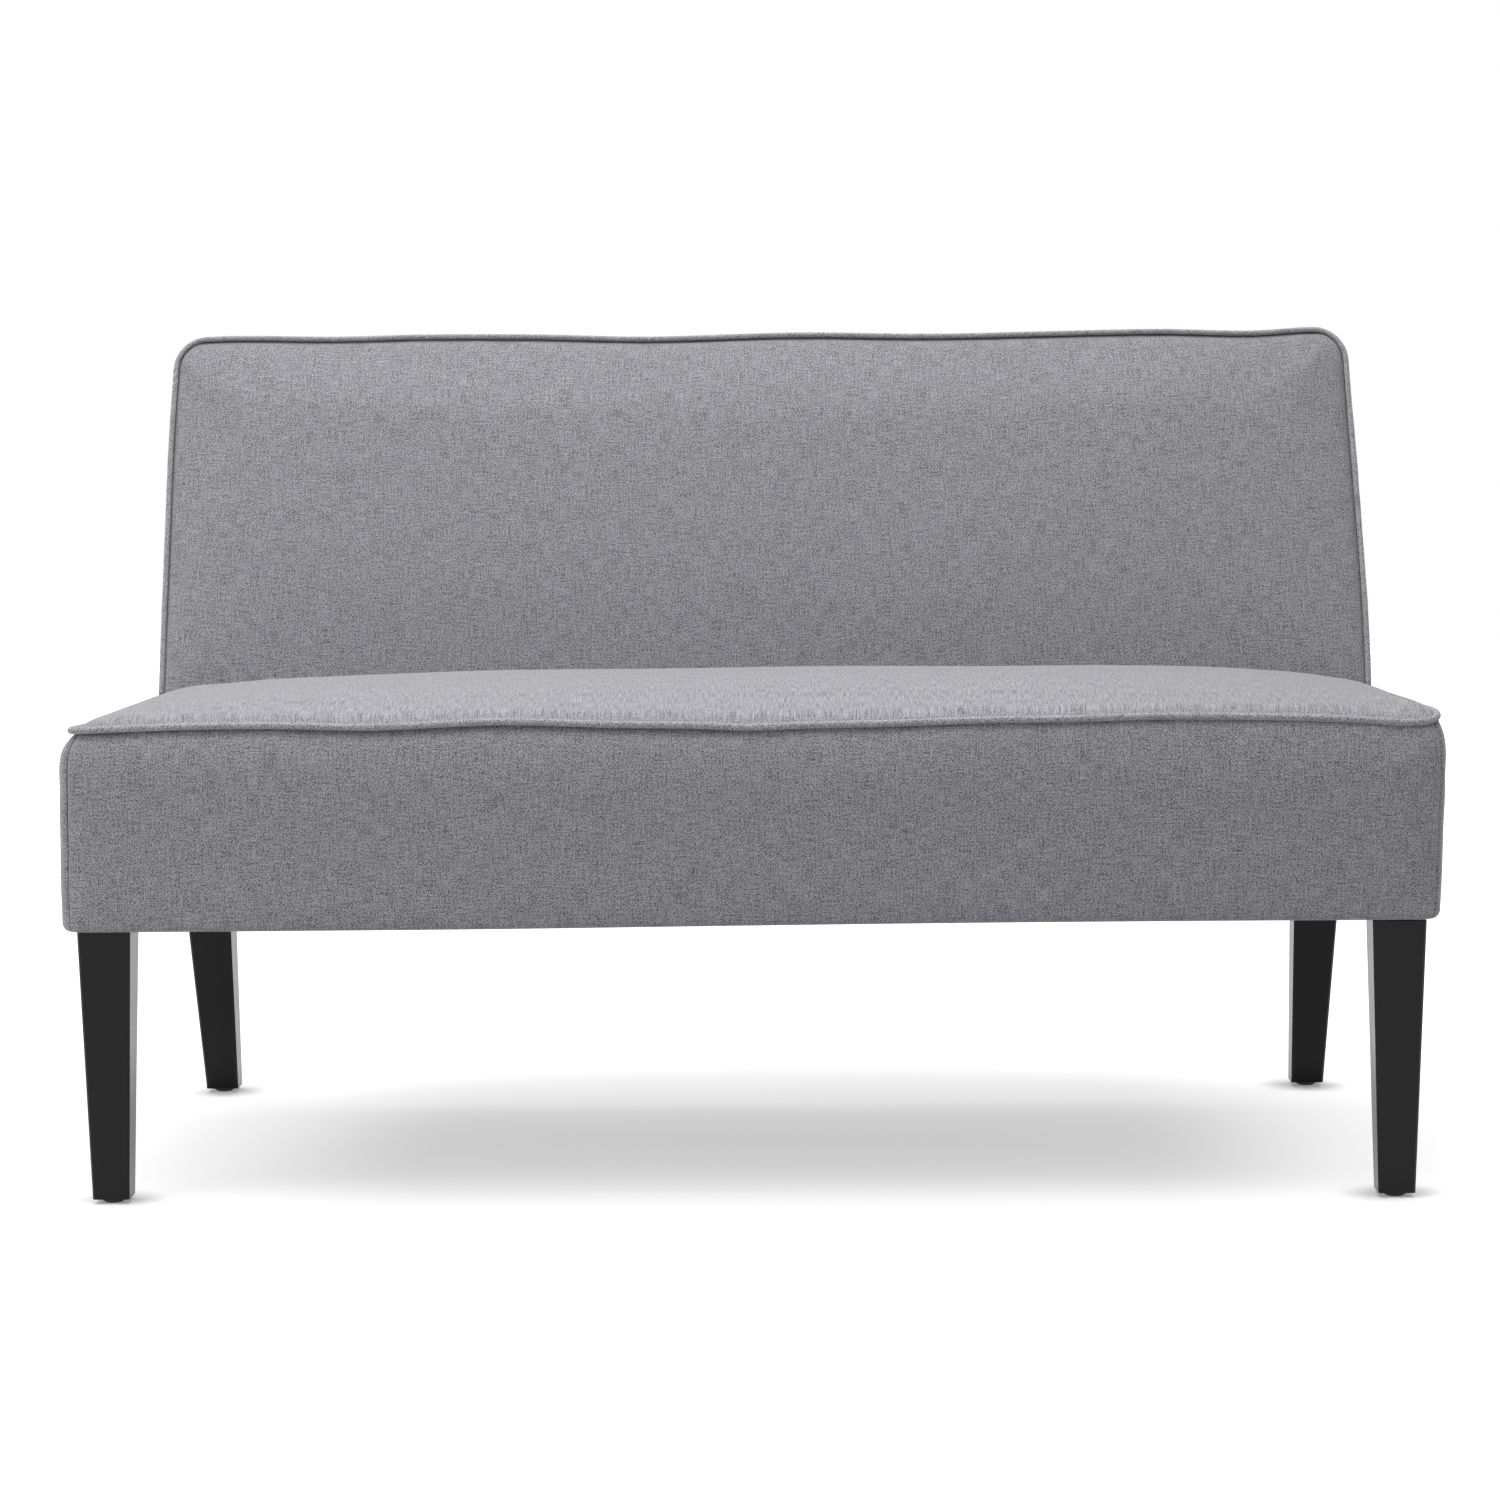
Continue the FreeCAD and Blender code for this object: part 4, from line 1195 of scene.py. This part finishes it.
def pale_floor(shade):
    """A pale floor whose shadow under the settee is painted lighter by a white glow mixed in for rays seen
    directly, and which is plain white further off.
    """
    material, graph = material_graph("studio floor")
    place = graph.add("ShaderNodeNewGeometry", None, None, "Position")
    middle = graph.add("ShaderNodeVectorMath", {"operation": "SUBTRACT"}, {0: place, 1: (0.03, -0.06, 0.0)})
    shape = graph.add("ShaderNodeVectorMath", {"operation": "MULTIPLY"}, {0: middle, 1: (0.62, 1.0, 0.0)})
    reach = graph.add("ShaderNodeVectorMath", {"operation": "LENGTH"}, {0: shape}, "Value")
    aside = graph.add("ShaderNodeSeparateXYZ", None, {"Vector": middle}, "X").math("ABSOLUTE")
    seen = seen_directly(graph)
    colour = mix_colours(graph, seen, (shade, shade, shade), (0.85, 0.85, 0.85))
    plain = graph.add("ShaderNodeBsdfDiffuse", None, {"Color": colour})
    # Painted glow: white light for rays seen directly, mixed over the diffuse floor.
    painted_glow = graph.add("ShaderNodeEmission", None, {"Color": (1.0, 1.0, 1.0, 1.0), "Strength": 1.42})
    parts = graph.add("ShaderNodeSeparateXYZ", None, {"Vector": place})
    mirrored = vector_of(graph, parts.math("ABSOLUTE"), parts.out("Y"))
    far = 1.0
    for foot in FEET:
        gap = graph.add("ShaderNodeVectorMath", {"operation": "DISTANCE"}, {0: mirrored, 1: foot}, "Value")
        far = gap.step(0.020, 0.062) * far
    # The painted glow's share is at least 0.36 under the settee, which paints its shadow lighter. It reaches
    # full white off to the sides and further off, and drops to a third near the feet so their shadows show.
    share = (0.36 + reach.step(0.40, 0.75) * 0.50 + aside.step(0.34, 0.60) * 0.14) * (0.3 + far * 0.7) * seen
    shader = graph.add("ShaderNodeMixShader", None, {0: share, 1: plain, 2: painted_glow})
    graph.add("ShaderNodeOutputMaterial", None, {"Surface": shader})
    return material


class SETTEE_OT_studio(bpy.types.Operator):
    """The camera, the lights and a pale floor"""

    bl_idname = "settee.studio"
    bl_label = "Studio"

    def execute(self, context):
        studio = context.scene.settee_studio
        camera = bpy.data.objects.new("camera", bpy.data.cameras.new("camera"))
        context.scene.collection.objects.link(camera)
        camera.matrix_world = camera_matrix()
        camera.data.lens = LENS
        camera.data.sensor_width = SENSOR
        context.scene.camera = camera
        context.scene.view_settings.view_transform = "Standard"
        white_room(studio.sky_strength)
        add_lamp("lamp above", *KEY_LAMP, studio.key_power)
        add_lamp("lamp at the left", *FILL_LAMP, studio.fill_power)
        half = 9.0
        corners = [(-half, -half, 0), (half, -half, 0), (half, half, 0), (-half, half, 0)]
        mesh = bpy.data.meshes.new("floor")
        mesh.from_pydata(corners, [], [(0, 1, 2, 3)])
        floor = bpy.data.objects.new("floor", mesh)
        context.scene.collection.objects.link(floor)
        mesh.materials.append(pale_floor(studio.floor_shade))
        return {"FINISHED"}


OPERATORS = (
    SETTEE_OT_studio,
    SETTEE_OT_seat_bands,
    SETTEE_OT_seat_cushion,
    SETTEE_OT_seat_piping,
    SETTEE_OT_back_cushion,
    SETTEE_OT_back_sides,
    SETTEE_OT_back_piping,
    SETTEE_OT_underside,
    SETTEE_OT_legs,
    SETTEE_OT_inside,
)


class SETTEE_PT_panel(bpy.types.Panel):
    """Lists the settee's pieces and settings"""

    bl_idname = "SETTEE_PT_panel"
    bl_label = "Settee"
    bl_space_type = "VIEW_3D"
    bl_region_type = "UI"
    bl_category = "Settee"

    def draw(self, context):
        for group in (context.scene.settee_cloth, context.scene.settee_padding, context.scene.settee_studio):
            for name in group.__annotations__:
                self.layout.prop(group, name)
        for operator in OPERATORS:
            self.layout.operator(operator.bl_idname)


GROUPS = {"settee_cloth": SetteeCloth, "settee_padding": SetteePadding, "settee_studio": SetteeStudio}


def register():
    for item in (*GROUPS.values(), *OPERATORS, SETTEE_PT_panel):
        bpy.utils.register_class(item)
    for name, group in GROUPS.items():
        setattr(bpy.types.Scene, name, PointerProperty(type=group))


def unregister():
    for name in GROUPS:
        delattr(bpy.types.Scene, name)
    for item in reversed((*GROUPS.values(), *OPERATORS, SETTEE_PT_panel)):
        bpy.utils.unregister_class(item)


def main():
    register()
    for operator in OPERATORS:
        group, name = operator.bl_idname.split(".")
        getattr(getattr(bpy.ops, group), name)()


if __name__ == "__main__":
    main()
